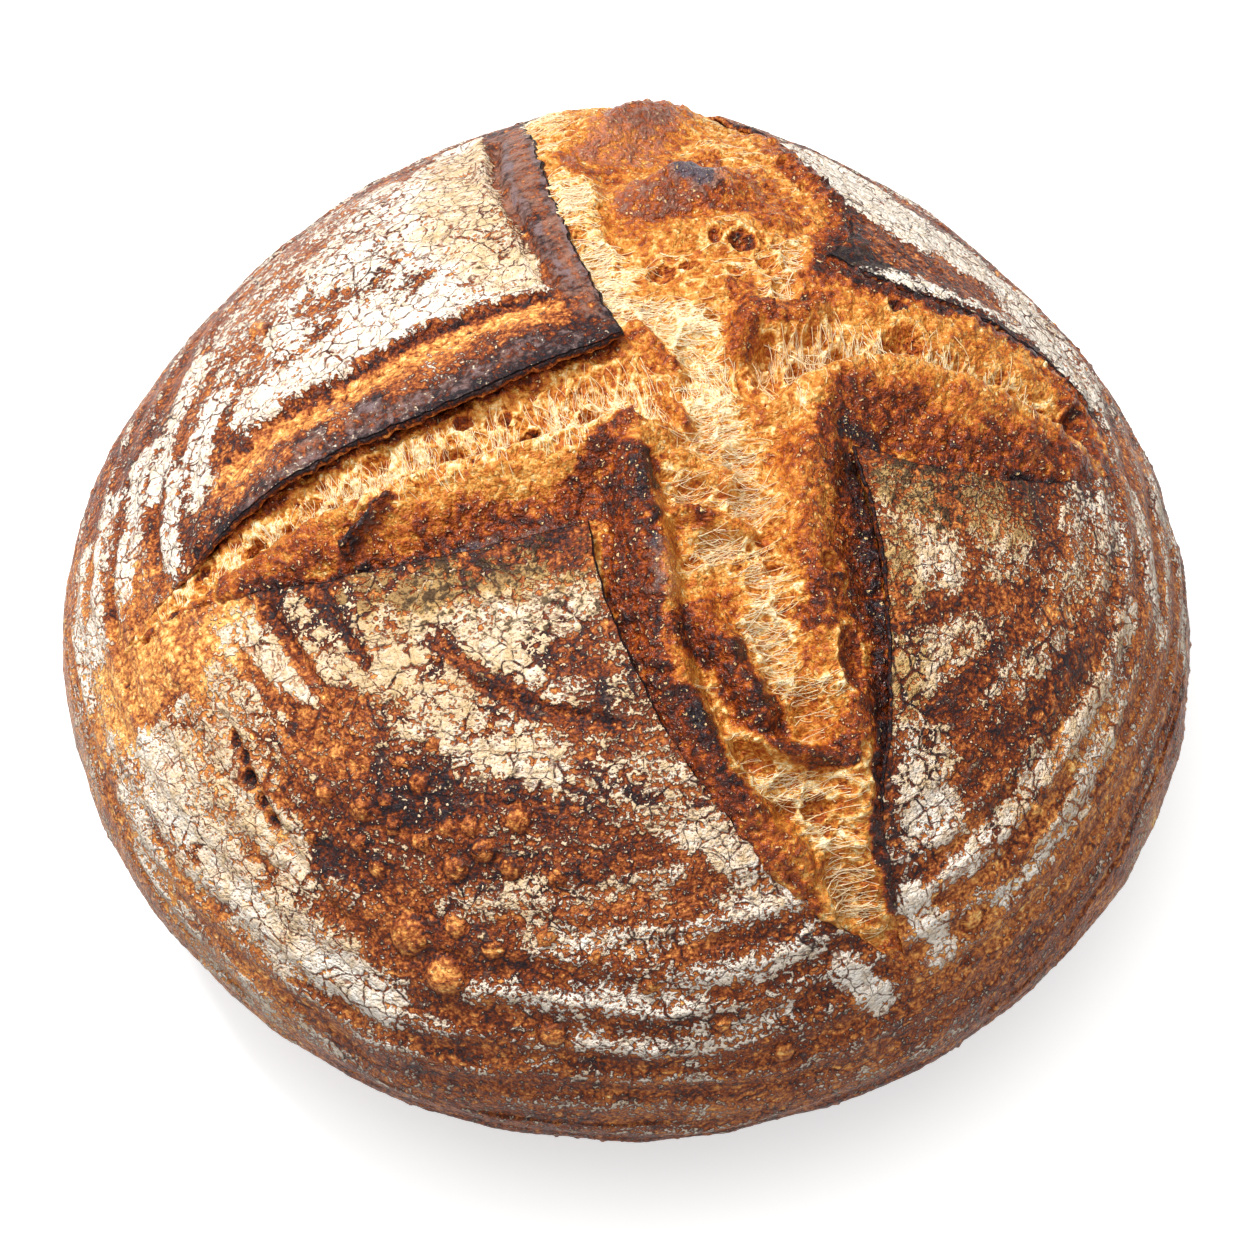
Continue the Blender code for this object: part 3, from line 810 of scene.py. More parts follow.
def smooth_rows(rows, width):
    """Each row averaged with this many neighbours each way."""
    padded = np.pad(rows, ((width, width), (0, 0)), mode="edge")
    total = np.cumsum(np.concatenate([np.zeros((1, rows.shape[1])), padded]), 0)
    return (total[2 * width + 1:] - total[: -2 * width - 1]) / (2 * width + 1)


def vertex_normals(points, faces):
    """Each vertex's normal, not yet of unit length, from the faces around it."""
    normal = np.cross(points[faces[:, 2]] - points[faces[:, 0]], points[faces[:, 3]] - points[faces[:, 1]])
    total = np.zeros_like(points)
    for k in range(4):
        for axis in range(3):
            total[:, axis] += np.bincount(faces[:, k], normal[:, axis], len(points))
    return total


def add_mesh(name, points, faces, fields, material, normals=None):
    """A piece from its points on the loaf's own axis, its faces, and the fields that its material reads."""
    mesh = bpy.data.meshes.new(name)
    mesh.from_pydata((points + AXIS).tolist(), [], faces.tolist())
    mesh.shade_smooth()
    for key, values in fields.items():
        kind, slot = ("FLOAT", "value") if values.ndim == 1 else ("FLOAT_VECTOR", "vector")
        mesh.attributes.new(key, kind, "POINT").data.foreach_set(slot, values.astype(np.float32).ravel())
    if normals is not None:
        mesh.normals_split_custom_set_from_vertices(unit(normals).tolist())
    mesh.materials.append(material)
    return add_object(name, mesh)


def add_object(name, data):
    thing = bpy.data.objects.new(name, data)
    bpy.context.scene.collection.objects.link(thing)
    return thing


def make_flaps(material):
    """The four flaps. Neighbours share their normals along their seam, so that it doesn't show."""
    flaps = {name: flap(name) for name in FLAP_EDGES}
    normals = {name: vertex_normals(f["points"], f["faces"]) for name, f in flaps.items()}
    for arm in ARM_TIPS:
        first, second = (name for name in flaps if arm in name.split("_"))
        one, two = flaps[first]["seam"][arm], flaps[second]["seam"][arm]
        together = normals[first][one] + normals[second][two]
        normals[first][one] = together
        normals[second][two] = together
    return [
        add_mesh("crust_" + name, f["points"], f["faces"], f["fields"], material, normals[name])
        for name, f in flaps.items()
    ]


# ---------------------------------------------------------------- the crumb in the opening

CRUMB_STEP_MM = 0.5
UNDER_FLAPS_MM = 4.5

# The floor of the opening against the plain loaf, in mm: (value, half width, soft edge, points).
FLOOR_MM = -3.0
FLOOR_STROKES = (
    (-2.0, 6, 8, (-96, -33), (-82, -27)),
    (-5.0, 3, 8, (-72, -23.5), (-60, -19), (-40, -13), (-20, -7), (-4, -3)),
    (-7.5, 3, 7, (32, 9), (50, 13), (72, 13.5), (90, 12)),
    (-3.5, 8, 6, (14, 0), (24, -20), (28, -50), (40, -85)),
    (-2.0, 10, 8, (4, 20), (-4, 45), (-8, 70)),
    (-1.0, 10, 8, (24, 36), (32, 60), (24, 90)),
    (0.6, 5, 6, (-12, 50), (-16, 70), (-18, 88), (-8, 106)),
)

# Ridges of crumb: how far they fall away to their left and right, and their crest's points (x, y, level).
RIDGES = (
    (6, 15, (-90, -37, 0.5), (-74, -30, 2), (-60, -25.5, 3.5), (-47, -22.5, 4.5), (-35, -19, 4),
     (-20, -16, 4), (-8, -13, 4.5), (1.5, -11, 5)),
    (5, 13, (1.5, -11, 5), (2.5, -20, 4.5), (5, -30, 4), (7, -42, 4), (8.5, -55, 3.5), (13, -67, 3.2),
     (20, -78, 2.5), (28, -87, 2), (38, -95, 0.5)),
    (12, 8, (36, 2, 5), (35, -8, 4.5), (33, -20, 4), (35, -40, 3.5), (38, -55, 2.2), (42, -68, 2.2),
     (44, -80, 1.6), (49, -92, 0.5)),
    (5, 20, (33, 1, 4), (40, 6, 5), (52, 11, 4.5), (67, 10, 4), (80, 9, 3), (93, 7, 1)),
    (13, 8, (-1, 12.5, -0.5), (-18, 6, -0.8), (-36, -2.5, -0.8), (-54, -8, -0.8), (-72, -16, -0.8),
     (-86, -26, -1)),
    (16, 8, (96, 18, 0), (84, 27, 1.2), (70, 31, 1.4), (56, 33, 1.2), (44, 36, 1.5)),
    (12, 8, (42, 40, 1), (44, 52, 1.5), (40, 68, 1.5), (30, 86, 1)),
    (12, 12, (4, 55, 3.5), (12, 59, 6), (19, 60, 4.5)),
    (13, 13, (-6, 84, 4.5), (2, 90, 5), (10, 98, 3)),
    (9, 9, (10, 44, 2.5), (22, 46, 2), (30, 50, 1.5)),
    (6, 6, (21, 12, 0.5), (23, 18, 2), (26, 22, 3), (31, 21, 2.5), (38, 25, 1.5)),
    (4, 5, (2, 15, 1.2), (6, 9.5, 1.2), (10, 4.5, 0.2)),
    (3, 4, (6, -2, 0.5), (9, -4, 2.2), (11, -9, 1.5)),
    (7, 7, (14, -48, 0.5), (20, -57, 2.2), (25, -66, 1.2)),
    (3, 4, (24, -70, 0.5), (32, -71.5, 1.7), (41, -71, 1.7)),
    (5, 6, (22, -83, 1), (29, -86, 2), (34, -90, 0.8)),
    (4, 5, (4, -13, 1.5), (12, -16.5, 1), (19, -20, 0.2)),
    (3, 4, (7, -28, 1), (14, -28, 1.6), (23, -31, 0)),
    (2.5, 3, (-53, -31, 4.5), (-49, -27.5, 6), (-44, -23.5, 6.5)),
    (4, 4, (20, -2, 0.3), (29, -6, 1)),
)

# Bubbles torn open: (x, y, radius across, radius along, degrees turned, depth, bake inside).
HOLES = (
    # left arm
    (-93, -33.5, 1.0, 1.6, 30, 1.2, 0.42), (-88, -32.5, 1.0, 1.3, 30, 1.0, 0.45),
    (-83, -26, 1.2, 2.2, 60, 1.8, 0.42), (-73, -24.5, 2.2, 2.8, 60, 2.4, 0.36),
    (-67, -22.5, 1.6, 2.2, 70, 1.6, 0.22), (-57, -20, 2.2, 2.8, 10, 1.6, 0.2),
    (-43, -16.5, 2.2, 3.0, 20, 1.8, 0.26), (-34, -12.5, 2.8, 3.4, 20, 2.4, 0.26),
    (-18.5, -9.5, 2.8, 2.6, 30, 3.4, 0.46), (-7.5, -4.5, 2.2, 2.4, 0, 2.0, 0.27),
    (0, -6, 1.8, 2.4, 60, 1.4, 0.16), (-32, -5.5, 1.6, 2.2, 20, 1.2, 0.4),
    (-24, -4.5, 1.2, 1.8, 20, 1.0, 0.34), (-49, -12, 2.0, 3.0, 15, 1.2, 0.3),
    (-62, -18, 1.4, 2.6, 30, 1.2, 0.26),
    # right arm
    (43, 14, 2.8, 4.6, 90, 2.8, 0.26), (56, 21, 4.6, 5.2, 90, 3.0, 0.24),
    (72.5, 15, 2.7, 4.8, 90, 4.2, 0.5), (85, 14, 2.4, 3.6, 90, 2.8, 0.4), (64, 17, 2.2, 3.8, 90, 2.0, 0.2),
    (35, 11, 2.6, 3.8, 80, 1.8, 0.18), (28, 14, 2.2, 4.0, 70, 1.4, 0.24), (91, 17, 2.0, 3.4, 90, 2.2, 0.55),
    (54, 30, 1.6, 2.6, 10, 1.2, 0.56), (49.5, 16, 1.3, 4.0, 90, 1.4, 0.2),
    (79, 16, 1.6, 4.2, 90, 1.8, 0.24),
    # crossing and back arm
    (16.5, 20.5, 1.5, 1.7, 0, 1.8, 0.3), (7, 32.5, 2.4, 3.6, 20, 1.8, 0.36),
    (12.5, 34.5, 1.5, 2.6, 20, 1.2, 0.36), (23, 42, 2.6, 3.0, 0, 2.0, 0.46),
    (17.5, 42, 1.6, 2.0, 90, 1.4, 0.42), (28, 37, 2.4, 2.8, 30, 1.6, 0.26),
    (33.5, 39, 3.0, 4.8, 80, 1.2, 0.12), (31.5, 30, 3.0, 4.2, 70, 1.4, 0.12),
    (37, 66, 2.2, 2.4, 80, 1.8, 0.3), (33, 76, 2.0, 2.6, 80, 1.8, 0.36), (14, 12, 4.0, 5.0, 70, 0.9, 0.02),
    (6, 22, 2.6, 4.0, 30, 0.8, 0.06), (-6, 36, 3.0, 7.0, 95, 0.8, 0.04),
    (-10, 56, 3.0, 7.0, 100, 0.8, 0.05),
    # front arm
    (15, -6, 2.4, 4.0, 110, 1.2, 0.05), (22, -15, 3.4, 3.8, 120, 2.0, 0.08),
    (23.5, -24.5, 4.2, 4.6, 110, 2.2, 0.08), (12, -22.5, 2.8, 4.6, 10, 1.6, 0.17),
    (17, -34, 3.4, 4.8, 10, 2.0, 0.12), (28, -38, 1.3, 2.2, 20, 1.4, 0.28),
    (12.5, -38, 1.5, 2.6, 10, 1.2, 0.22), (38, -37, 2.0, 2.6, 0, 1.6, 0.3),
    (25, -41, 2.4, 4.4, 100, 1.0, 0.1), (27.5, -52, 3.4, 7.5, 118, 1.6, 0.06),
    (35, -64, 4.6, 5.6, 90, 1.4, 0.2), (42, -54, 3.0, 6.4, 95, 1.6, 0.44),
    (23.5, -73.5, 2.8, 5.4, 150, 1.6, 0.22), (36, -80.5, 2.4, 3.0, 20, 2.2, 0.3),
    (30, -77.5, 2.0, 3.4, 20, 0.8, 0.16), (43, -91, 5.0, 8.5, 128, 1.0, 0.17),
    (29.5, -82, 2.2, 3.0, 40, 1.0, 0.26),
)

# Strokes of how far the crumb is baked.
CRUMB_BAKE = 0.19
CRUMB_BAKE_STROKES = (
    # golden over the back arm, paler beside its left edge and at the crossing
    (0.24, 16, 9, (14, 48), (10, 66), (6, 100)),
    (0.10, 4, 6, (-2, 18), (-8, 34), (-12, 52)),
    (0.03, 5, 5, (12, 16), (14, 6), (18, -4)),
    # left arm: the slope under the ear, the pale valley, the golden crest and the red ridge
    (0.26, 5, 6, (-98, -36), (-86, -31), (-80, -27)),
    (0.21, 2.6, 4, (-76, -21), (-60, -13), (-46, -8), (-34, -5), (-20, 0), (-8, 5), (4, 8)),
    # the darkest crumb runs just under the ear's edge: toasted crumb, darkened further with painted shade
    # from the overhang
    (0.60, 1.0, 3.4, (-82, -22), (-66, -14), (-56, -10), (-46, -6), (-36, -2), (-26, 2), (-16, 6), (-6, 11),
     (1, 12.5)),
    (0.10, 3.0, 4, (-86, -31), (-77, -27), (-66, -22), (-52, -16.5), (-40, -13), (-30, -10.5), (-18, -7),
     (-8, -3), (4, -3)),
    (0.14, 3.4, 2.4, (-46, -22), (-32, -19.5), (-16, -16), (-4, -12.5)),
    (0.26, 1.5, 2.5, (-40, -25), (-30, -23), (-16, -20), (-5, -17)),
    (0.52, 3.2, 3.0, (-84, -35.5), (-74, -32.5), (-62, -30), (-46, -31), (-30, -29.5), (-14, -27.5),
     (-6, -25)),
    (0.66, 1.6, 3, (-40, -33), (-26, -31), (-10, -27)),
    (0.46, 2.5, 3, (-62, -27), (-56, -27)),
    (0.42, 1.4, 2, (-43, -28), (-42, -31)),
    (0.80, 0.9, 1.6, (-72, -34), (-56, -36.5), (-42, -35.8), (-36, -34.6), (-22, -32.5), (-10, -30)),
    (0.80, 0.5, 1.6, (-53, -31), (-49, -27.5), (-44, -23.5)),
    (0.50, 0.4, 1.2, (-49, -30.5), (-46, -27)),
    # the top of the front left ridge, and that ridge down the front arm
    (0.64, 1.8, 2.2, (-8, -22), (-3, -14), (1.5, -10)),
    (0.70, 4.0, 2.2, (0, -20), (0, -32), (2, -44), (4, -56), (10, -68), (18, -80), (26, -87)),
    (0.82, 1.2, 2.0, (3, -18), (5, -30), (7, -42), (8, -55)),
    (0.88, 1.3, 1.8, (11, -64), (15, -71), (20, -77), (25, -84)),
    # the front arm's inside
    (0.34, 2.0, 2.2, (9, -32), (9.5, -46), (11, -60)),
    (0.33, 1.6, 2, (4, -13), (12, -16.5), (19, -20)),
    (0.40, 1.4, 2, (7, -27), (13, -28), (23, -30.5)),
    (0.50, 0.8, 1.4, (13.5, -27.5), (14.5, -28.5)),
    (0.28, 2.5, 3, (14, -41), (20, -44)),
    (0.70, 5.0, 2.6, (15, -51), (21, -56), (26, -65)),
    (0.48, 3.0, 3, (17, -47), (22, -49)),
    (0.66, 0.9, 1.5, (27, -70.5), (34, -72), (41, -71.5)),
    (0.10, 3.0, 3, (26, -50), (30, -58), (34, -63)),
    (0.14, 3.0, 3, (22, -73), (30, -79), (38, -84), (44, -92)),
    (0.50, 3.0, 3, (24, -84), (30, -89), (36, -93)),
    (0.34, 1.0, 1.5, (33, -90), (42, -96), (50, -99)),
    (0.26, 2.5, 4, (30, -4), (27, -14), (29, -24)),
    (0.46, 3.0, 3.4, (35, -6), (34, -20), (36, -34), (38, -44)),
    (0.62, 2.4, 3, (37, -40), (36, -47)),
    (0.68, 2.2, 3, (40, -5), (42, -18), (44, -32), (46, -48)),
    (0.60, 2.4, 2.6, (40, -66), (44, -64), (46, -56)),
    (0.42, 1.6, 2, (36, -52), (34, -57)),
    (0.84, 1.2, 1.8, (44, -12), (47, -30), (48.5, -50), (48.5, -66), (47, -80), (50, -92)),
    # right arm: the slope under the flap, the valley, the golden crest and the red ridge
    (0.32, 3.5, 5, (40, 31), (55, 29), (70, 28), (82, 25), (92, 21)),
    (0.76, 2.0, 3.4, (40, 37), (52, 35.5), (64, 34.5), (76, 33), (88, 28), (97, 21)),
    (0.56, 3, 4, (88, 24), (92, 18), (93, 12)),
    (0.62, 3, 4, (91, 11), (96, 7), (101, 6)),
    (0.48, 1.5, 3, (50, -96), (53, -99), (56, -103)),
    (0.16, 3.5, 4, (26, 6), (38, 12), (52, 15), (68, 15), (82, 14)),
    (0.30, 1.8, 2.4, (38, 7), (45, 5), (52, 9.5), (62, 9), (74, 8), (86, 7.5), (94, 5)),
    (0.44, 2.0, 2.6, (44, 2), (55, 5), (70, 4), (84, 4), (93, 3)),
    (0.60, 4.4, 3, (40, -4), (52, -2), (66, -4), (80, -2), (90, 0)),
    (0.88, 1.0, 2.2, (42, -6), (47, -8.5), (54, -10.5), (68, -10.5), (78, -8), (86, -4)),
    # crossing
    (0.48, 1.0, 1.6, (2, 15), (6, 9.5), (10, 4.5)),
    (0.44, 0.9, 1.8, (7, -2), (9.5, -4), (11.5, -9)),
    (0.52, 2.4, 2.4, (22, 29), (23, 20), (22, 12)),
    (0.54, 2.0, 2.4, (23, 22), (30, 22), (38, 27)),
    (0.26, 2.0, 2.4, (5, 27), (12, 28), (18, 25)),
    (0.34, 1.0, 1.6, (22, -1), (28, -6), (33, -7)),
    (0.20, 2.5, 3, (25, 3), (33, -1)),
    # back arm
    (0.22, 3.5, 4, (4, 38), (12, 38), (20, 37), (27, 44)),
    (0.42, 6.0, 6, (1, 50), (12, 54), (19, 59)),
    (0.64, 3.4, 4, (4, 53), (12, 57), (17, 58)),
    (0.90, 1.6, 3, (11, 59.5), (16, 60)),
    (0.46, 7.5, 7, (-4, 76), (2, 84), (4, 96)),
    (0.64, 3.0, 5, (-2, 86), (4, 90)),
    (0.46, 5, 5, (16, 72), (24, 64), (30, 54)),
    (0.52, 2.4, 3, (38, 33), (40, 44), (43, 54), (39, 67), (32, 80), (28, 92)),
    (0.72, 1.0, 2, (39, 36), (42, 45), (45, 54), (41, 67), (34, 80)),
)

# Strokes of ashy bloom on the crumb's burnt bumps, which also paint their sheen under light.
CRUMB_ASH_AND_SHEEN_STROKES = (
    (0.6, 6, 6, (-4, 78), (2, 86), (4, 96)),
    (0.5, 5, 5, (4, 54), (10, 58)),
    (1.1, 1.6, 2.5, (11, 59.5), (16, 60)),
    (0.55, 1.8, 3, (6, -37), (7, -44)),
    (0.3, 1.0, 2, (-50, -28), (-45, -23)),
    (0.6, 0.6, 1.5, (-33, -34), (-20, -32), (-12, -30.5)),
)

SIDE_ARM_AXIS = math.radians(12)
END_ARM_AXIS = math.radians(102)


def cross_polygon():
    """The opening's whole outline on the sheet."""
    shares = np.linspace(0, 1, 60)
    round_trip = (
        ("front_left", "left", -1), ("front_left", "front", 1), ("front_right", "front", -1),
        ("front_right", "right", 1), ("back_right", "right", -1), ("back_right", "back", 1),
        ("back_left", "back", -1), ("back_left", "left", 1),
    )
    return np.concatenate([torn_path(name, arm, shares)[::way][:-1] for name, arm, way in round_trip])


def inside_polygon(points, polygon):
    """Which points a ray to the right leaves the polygon from, by an odd number of crossings."""
    inside = np.zeros(len(points), bool)
    for start, stop in zip(polygon, np.roll(polygon, -1, 0)):
        straddles = (start[1] > points[:, 1]) != (stop[1] > points[:, 1])
        slope = (stop[0] - start[0]) / (stop[1] - start[1] + 1e-15)
        inside ^= straddles & (points[:, 0] < start[0] + slope * (points[:, 1] - start[1]))
    return inside


def widened(mask, cells_out):
    """The mask grown by this many cells each way."""
    for axis in (0, 1):
        pads = [(cells_out + 1, cells_out) if a == axis else (0, 0) for a in (0, 1)]
        total = np.cumsum(np.pad(mask, pads), axis)
        length = mask.shape[axis]
        upper = np.take(total, np.arange(length) + 2 * cells_out + 1, axis)
        lower = np.take(total, np.arange(length), axis)
        mask = upper - lower > 0
    return mask


def side_arm_share(plain):
    """1 in the left and right arms, 0 in the front and back ones, and between at the crossing."""
    dx, dy = plain[:, 0] / MM - CROSSING[0], plain[:, 1] / MM - CROSSING[1]
    along, across = turned(dx, dy, SIDE_ARM_AXIS)
    return smooth(-6, 6, np.abs(along) - np.abs(across))


def stretched(plain, axis, across):
    """Points drawn out so that noise there becomes streaks across an arm."""
    u, v = turned(plain[:, 0], plain[:, 1], axis)
    return np.stack([u, v / across, plain[:, 2] / across], -1)


def soft_max(a, b, blend):
    """The larger of two, with a rounded change from one to the other."""
    share = np.clip(0.5 + 0.5 * (a - b) / blend, 0, 1)
    return b + (a - b) * share + blend * share * (1 - share)


def ridges(plain):
    """The opening's floor and ridges as a level in mm, and how near each point is to a crest."""
    floor = paint(np.full(len(plain), FLOOR_MM), plain, FLOOR_STROKES)
    level = floor.copy()
    crest_share = np.zeros(len(plain))
    for fall_left, fall_right, *crest in RIDGES:
        chosen, distance, side, values = near_stroke(plain, crest, max(fall_left, fall_right))
        fall = np.where(side > 0, fall_left, fall_right)
        height = floor[chosen] + (values[:, 0] - floor[chosen]) * smooth(fall, 0, distance)
        level[chosen] = soft_max(level[chosen], height, 1.2)
        crest_share[chosen] = np.maximum(crest_share[chosen], smooth(3.2, 0.6, distance))
    return level, crest_share


def foam(plain, side_share):
    """Pale crumb as a foam drawn out across the arm: its streaks, its walls and how far off a wall is."""
    flat = np.zeros(len(plain))
    warp = plain + 0.0012 * np.stack([noise(plain, 5, 66), noise(plain, 5, 67), flat], -1)
    streaks, walls, web = flat.copy(), flat.copy(), flat.copy()
    for axis, share in ((SIDE_ARM_AXIS, side_share), (END_ARM_AXIS, 1 - side_share)):
        drawn = stretched(warp, axis, 4.0)
        streaks += share * (noise(drawn, 1.0, 68) + 0.7 * noise(drawn, 2.2, 69))
        first, second = cells(stretched(warp, axis, 1.6), 2.9, 70)
        walls += share * smooth(0.30, 0.0, second - first)
        web += share * (second - first) * 1.45
    return streaks, walls, web


def tip_share_at(plain):
    """How far the crumb has come up to the skin at the arms' tips."""
    total = np.zeros(len(plain))
    for arm, tip in ARM_TIPS.items():
        off_tip = np.linalg.norm(plain - loaf_point(sheet_from_plan(tip)), axis=-1) / MM
        total = np.maximum(total, smooth(*TIP_REACH[arm], off_tip))
    return total


def crumb_fields(plain, depth_under):
    """The crumb's level over the plain loaf in mm, and the fields that its material reads."""
    side_share = side_arm_share(plain)
    level, crest_share = ridges(plain)
    fray = fraying(plain, 401)
    bake = paint(np.full(len(plain), CRUMB_BAKE), plain, CRUMB_BAKE_STROKES, fray)
    ash_and_sheen = paint(np.zeros(len(plain)), plain, CRUMB_ASH_AND_SHEEN_STROKES, fray)
    bake += 0.07 * noise(plain, 7, 61) + 0.05 * noise(plain, 2.5, 62)
    crusty = smooth(0.17, 0.32, bake)
    pale = 1 - crusty

    # ridges are lumpy and ragged
    level += crusty * layered(plain, (0.9, 6, 63), (0.55, 2.6, 64), (0.35, 1.3, 65))
    streaks, walls, web = foam(plain, side_share)
    level += pale * (0.20 * streaks + 0.9 * walls - 0.4) + (1 - pale) * 0.3 * streaks
    # the foam's raised walls are paler than its hollows: partly the walls' own paleness, partly painted
    # shade
    bake += pale * (0.06 - 0.10 * walls - 0.03 * streaks)
    for *oval, depth, inside in HOLES:
        distance = oval_distance(plain, *oval) * (1 + 0.13 * noise(plain, 2.5, 75))
        rim = band(distance, 1.12, 0.13)
        level += 0.55 * rim - depth * smooth(1.05, 0.35, distance)
        web = np.minimum(np.where(distance < 1.0, 9.0, web), np.abs(distance - 1.04) * min(oval[2:4]))
        share = smooth(1.05, 0.85, distance)
        bake += (inside + 0.05 * noise(plain, 1.6, 76) - bake) * share - 0.09 * rim
        crusty = crusty * (1 - share)
    # thorns stand along the crests
    first, _ = cells(plain, 2.2, 79)
    thorns = smooth(0.36, 0.05, first) * smooth(-0.2, 0.5, noise(plain, 5, 80))
    level += 1.7 * crest_share * thorns * (0.35 + 0.65 * smooth(0.2, 0.4, bake))
    bake += 0.10 * crest_share * thorns
    # it comes up to the skin at the arms' tips, and under the flaps it sinks out of the way
    tip_share = tip_share_at(plain)
    level += (swell(plain) - 0.1 + 0.4 * walls + 0.2 * streaks - level) * tip_share
    level -= (2.6 - 1.0 * tip_share) * smooth(0, 2.0 - tip_share, depth_under)
    return level, {"bake": bake, "side": side_share, "crusty": crusty, "ash_and_sheen": ash_and_sheen, "web": web}


def crumb_grid():
    """The crumb on a square grid of the sheet: its sheet points, which of them it has, and its surface."""
    polygon = cross_polygon()
    step = CRUMB_STEP_MM / SHEET_MM
    margin = UNDER_FLAPS_MM / SHEET_MM
    low, high = polygon.min(0) - margin, polygon.max(0) + margin
    xs, ys = (np.arange(low[k], high[k], step) for k in range(2))
    sheet = np.stack(np.meshgrid(xs, ys, indexing="ij"), -1)
    inside = inside_polygon(sheet.reshape(-1, 2), polygon).reshape(sheet.shape[:2])
    kept = widened(inside, round(UNDER_FLAPS_MM / CRUMB_STEP_MM))
    plain, normal = loaf_point(sheet[kept]), loaf_normal(sheet[kept])
    line = loaf_point(np.concatenate([polygon, polygon[:1]])[::2])
    depth = np.zeros(len(plain))
    outer = ~inside[kept]
    depth[outer], _, _ = nearest_on(plain[outer], line, np.zeros((len(line), 1)))
    level, fields = crumb_fields(plain, depth)
    surface = np.full((*sheet.shape[:2], 3), np.nan)
    surface[kept] = plain + normal * (level * MM)[:, None]
    return {"low": low, "step": step, "kept": kept, "inside": inside, "surface": surface, "fields": fields}


def make_crumb(grid, material):
    """The crumb's sheet, which fills the opening and reaches a little under the flaps."""
    kept = grid["kept"]
    number = np.full(kept.shape, -1)
    number[kept] = np.arange(kept.sum())
    whole = kept[:-1, :-1] & kept[1:, :-1] & kept[1:, 1:] & kept[:-1, 1:]
    corners = (number[:-1, :-1], number[1:, :-1], number[1:, 1:], number[:-1, 1:])
    faces = np.stack([c[whole] for c in corners], -1)
    return add_mesh("crumb", grid["surface"][kept], faces, grid["fields"], material)


# ---------------------------------------------------------------- strands across the crumb

# How many strands are tried. Those that would leave the crumb or cross baked crumb are dropped.
STRANDS = 3000
STRAND_STEPS = 7
STRAND_SIDES = 3
STRAND_MOST_BAKE = 0.36


def read_grid(grid, values, sheet):
    """Values on the crumb's grid read between its points."""
    at = (sheet - grid["low"]) / grid["step"]
    cell = np.clip(np.floor(at).astype(int), 0, np.array(values.shape[:2]) - 2)
    share = at - cell
    total = 0
    for i, j in np.ndindex(2, 2):
        weight = (share[..., 0] if i else 1 - share[..., 0]) * (share[..., 1] if j else 1 - share[..., 1])
        total = total + weight[..., None] * values[cell[..., 0] + i, cell[..., 1] + j]
    return total


def strand_lines(grid):
    """Each strand's points, and at each of them the skin's outward direction, its radius and its bake."""
    random = np.random.default_rng(RANDOM_SEED)
    fields = np.full((*grid["kept"].shape, 2), np.nan)
    fields[grid["kept"]] = np.stack([grid["fields"]["bake"], grid["fields"]["side"]], -1)
    spots = np.argwhere(grid["inside"])
    spots = spots[random.permutation(len(spots))]
    bake = fields[spots[:, 0], spots[:, 1], 0]
    spots = spots[random.random(len(spots)) < smooth(0.24, 0.12, bake)][:STRANDS]
    count = len(spots)
    middle = grid["low"] + spots * grid["step"]
    side = fields[spots[:, 0], spots[:, 1], 1]
    turn = np.where(random.random(count) < side, SIDE_ARM_AXIS, END_ARM_AXIS) + math.pi / 2
    turn = turn + random.normal(0, 0.26, count)
    length = random.gamma(4.0, 1.35, count).clip(2, 13) / SHEET_MM
    bend = random.normal(0, 0.12, count) * length
    lift = random.uniform(0.05, 0.4, count) * (length * SHEET_MM / 6)
    radius = random.uniform(0.06, 0.12, count)

    share = np.linspace(-0.5, 0.5, STRAND_STEPS)
    arch = 1 - 4 * share**2
    along = np.stack([np.cos(turn), np.sin(turn)], -1)
    beside = np.stack([-along[:, 1], along[:, 0]], -1)
    sheet = middle[:, None] + share[None, :, None] * (length[:, None] * along)[:, None]
    sheet = sheet + (arch[None] * bend[:, None])[..., None] * beside[:, None]
    surface = read_grid(grid, grid["surface"], sheet)
    bake = read_grid(grid, fields, sheet)[..., 0]
    whole = ~np.isnan(surface).any((1, 2)) & (bake.max(1) < STRAND_MOST_BAKE)
    surface, sheet, bake, lift, radius = (values[whole] for values in (surface, sheet, bake, lift, radius))
    normal = loaf_normal(sheet)
    # a strand bridges hollows: it hangs between its ends, no lower than the crumb
    height = ((surface - loaf_point(sheet)) * normal).sum(-1)
    chord = height[:, :1] * (0.5 - share) + height[:, -1:] * (0.5 + share)
    bridged = np.maximum(height, chord * 0.75 + height * 0.25) + arch * lift[:, None] * MM * 0.6
    thick = radius[:, None] * MM * (0.55 + 0.9 * (2 * np.abs(share)) ** 2)
    return loaf_point(sheet) + normal * bridged[..., None], normal, thick, bake


def make_strands(grid, material):
    """Fine strands of crumb stretched across the arms, thickest at their ends."""
    centre, normal, thick, bake = strand_lines(grid)
    forward = unit(np.gradient(centre, axis=1))
    sideways = unit(np.cross(forward, normal))
    upward = np.cross(sideways, forward)
    rings = []
    for k in range(STRAND_SIDES):
        angle = 2 * math.pi * k / STRAND_SIDES + math.pi / 2
        rings.append(centre + thick[..., None] * (math.cos(angle) * sideways + math.sin(angle) * upward))
    points = np.stack(rings, 2)
    index = np.arange(points.size // 3).reshape(points.shape[:3])
    faces = []
    for k in range(STRAND_SIDES):
        one, two = index[..., k], index[..., (k + 1) % STRAND_SIDES]
        faces.append(np.stack([one[:, :-1], two[:, :-1], two[:, 1:], one[:, 1:]], -1).reshape(-1, 4))
    fields = {"bake": np.repeat(bake.ravel(), STRAND_SIDES) * 0.45 - 0.04}
    return add_mesh("crumb_strands", points.reshape(-1, 3), np.concatenate(faces), fields, material)


# ---------------------------------------------------------------- the base

BASE_RINGS = 60
BASE_SIDES = 160
BASE_MIDDLE_HEIGHT = 0.0004


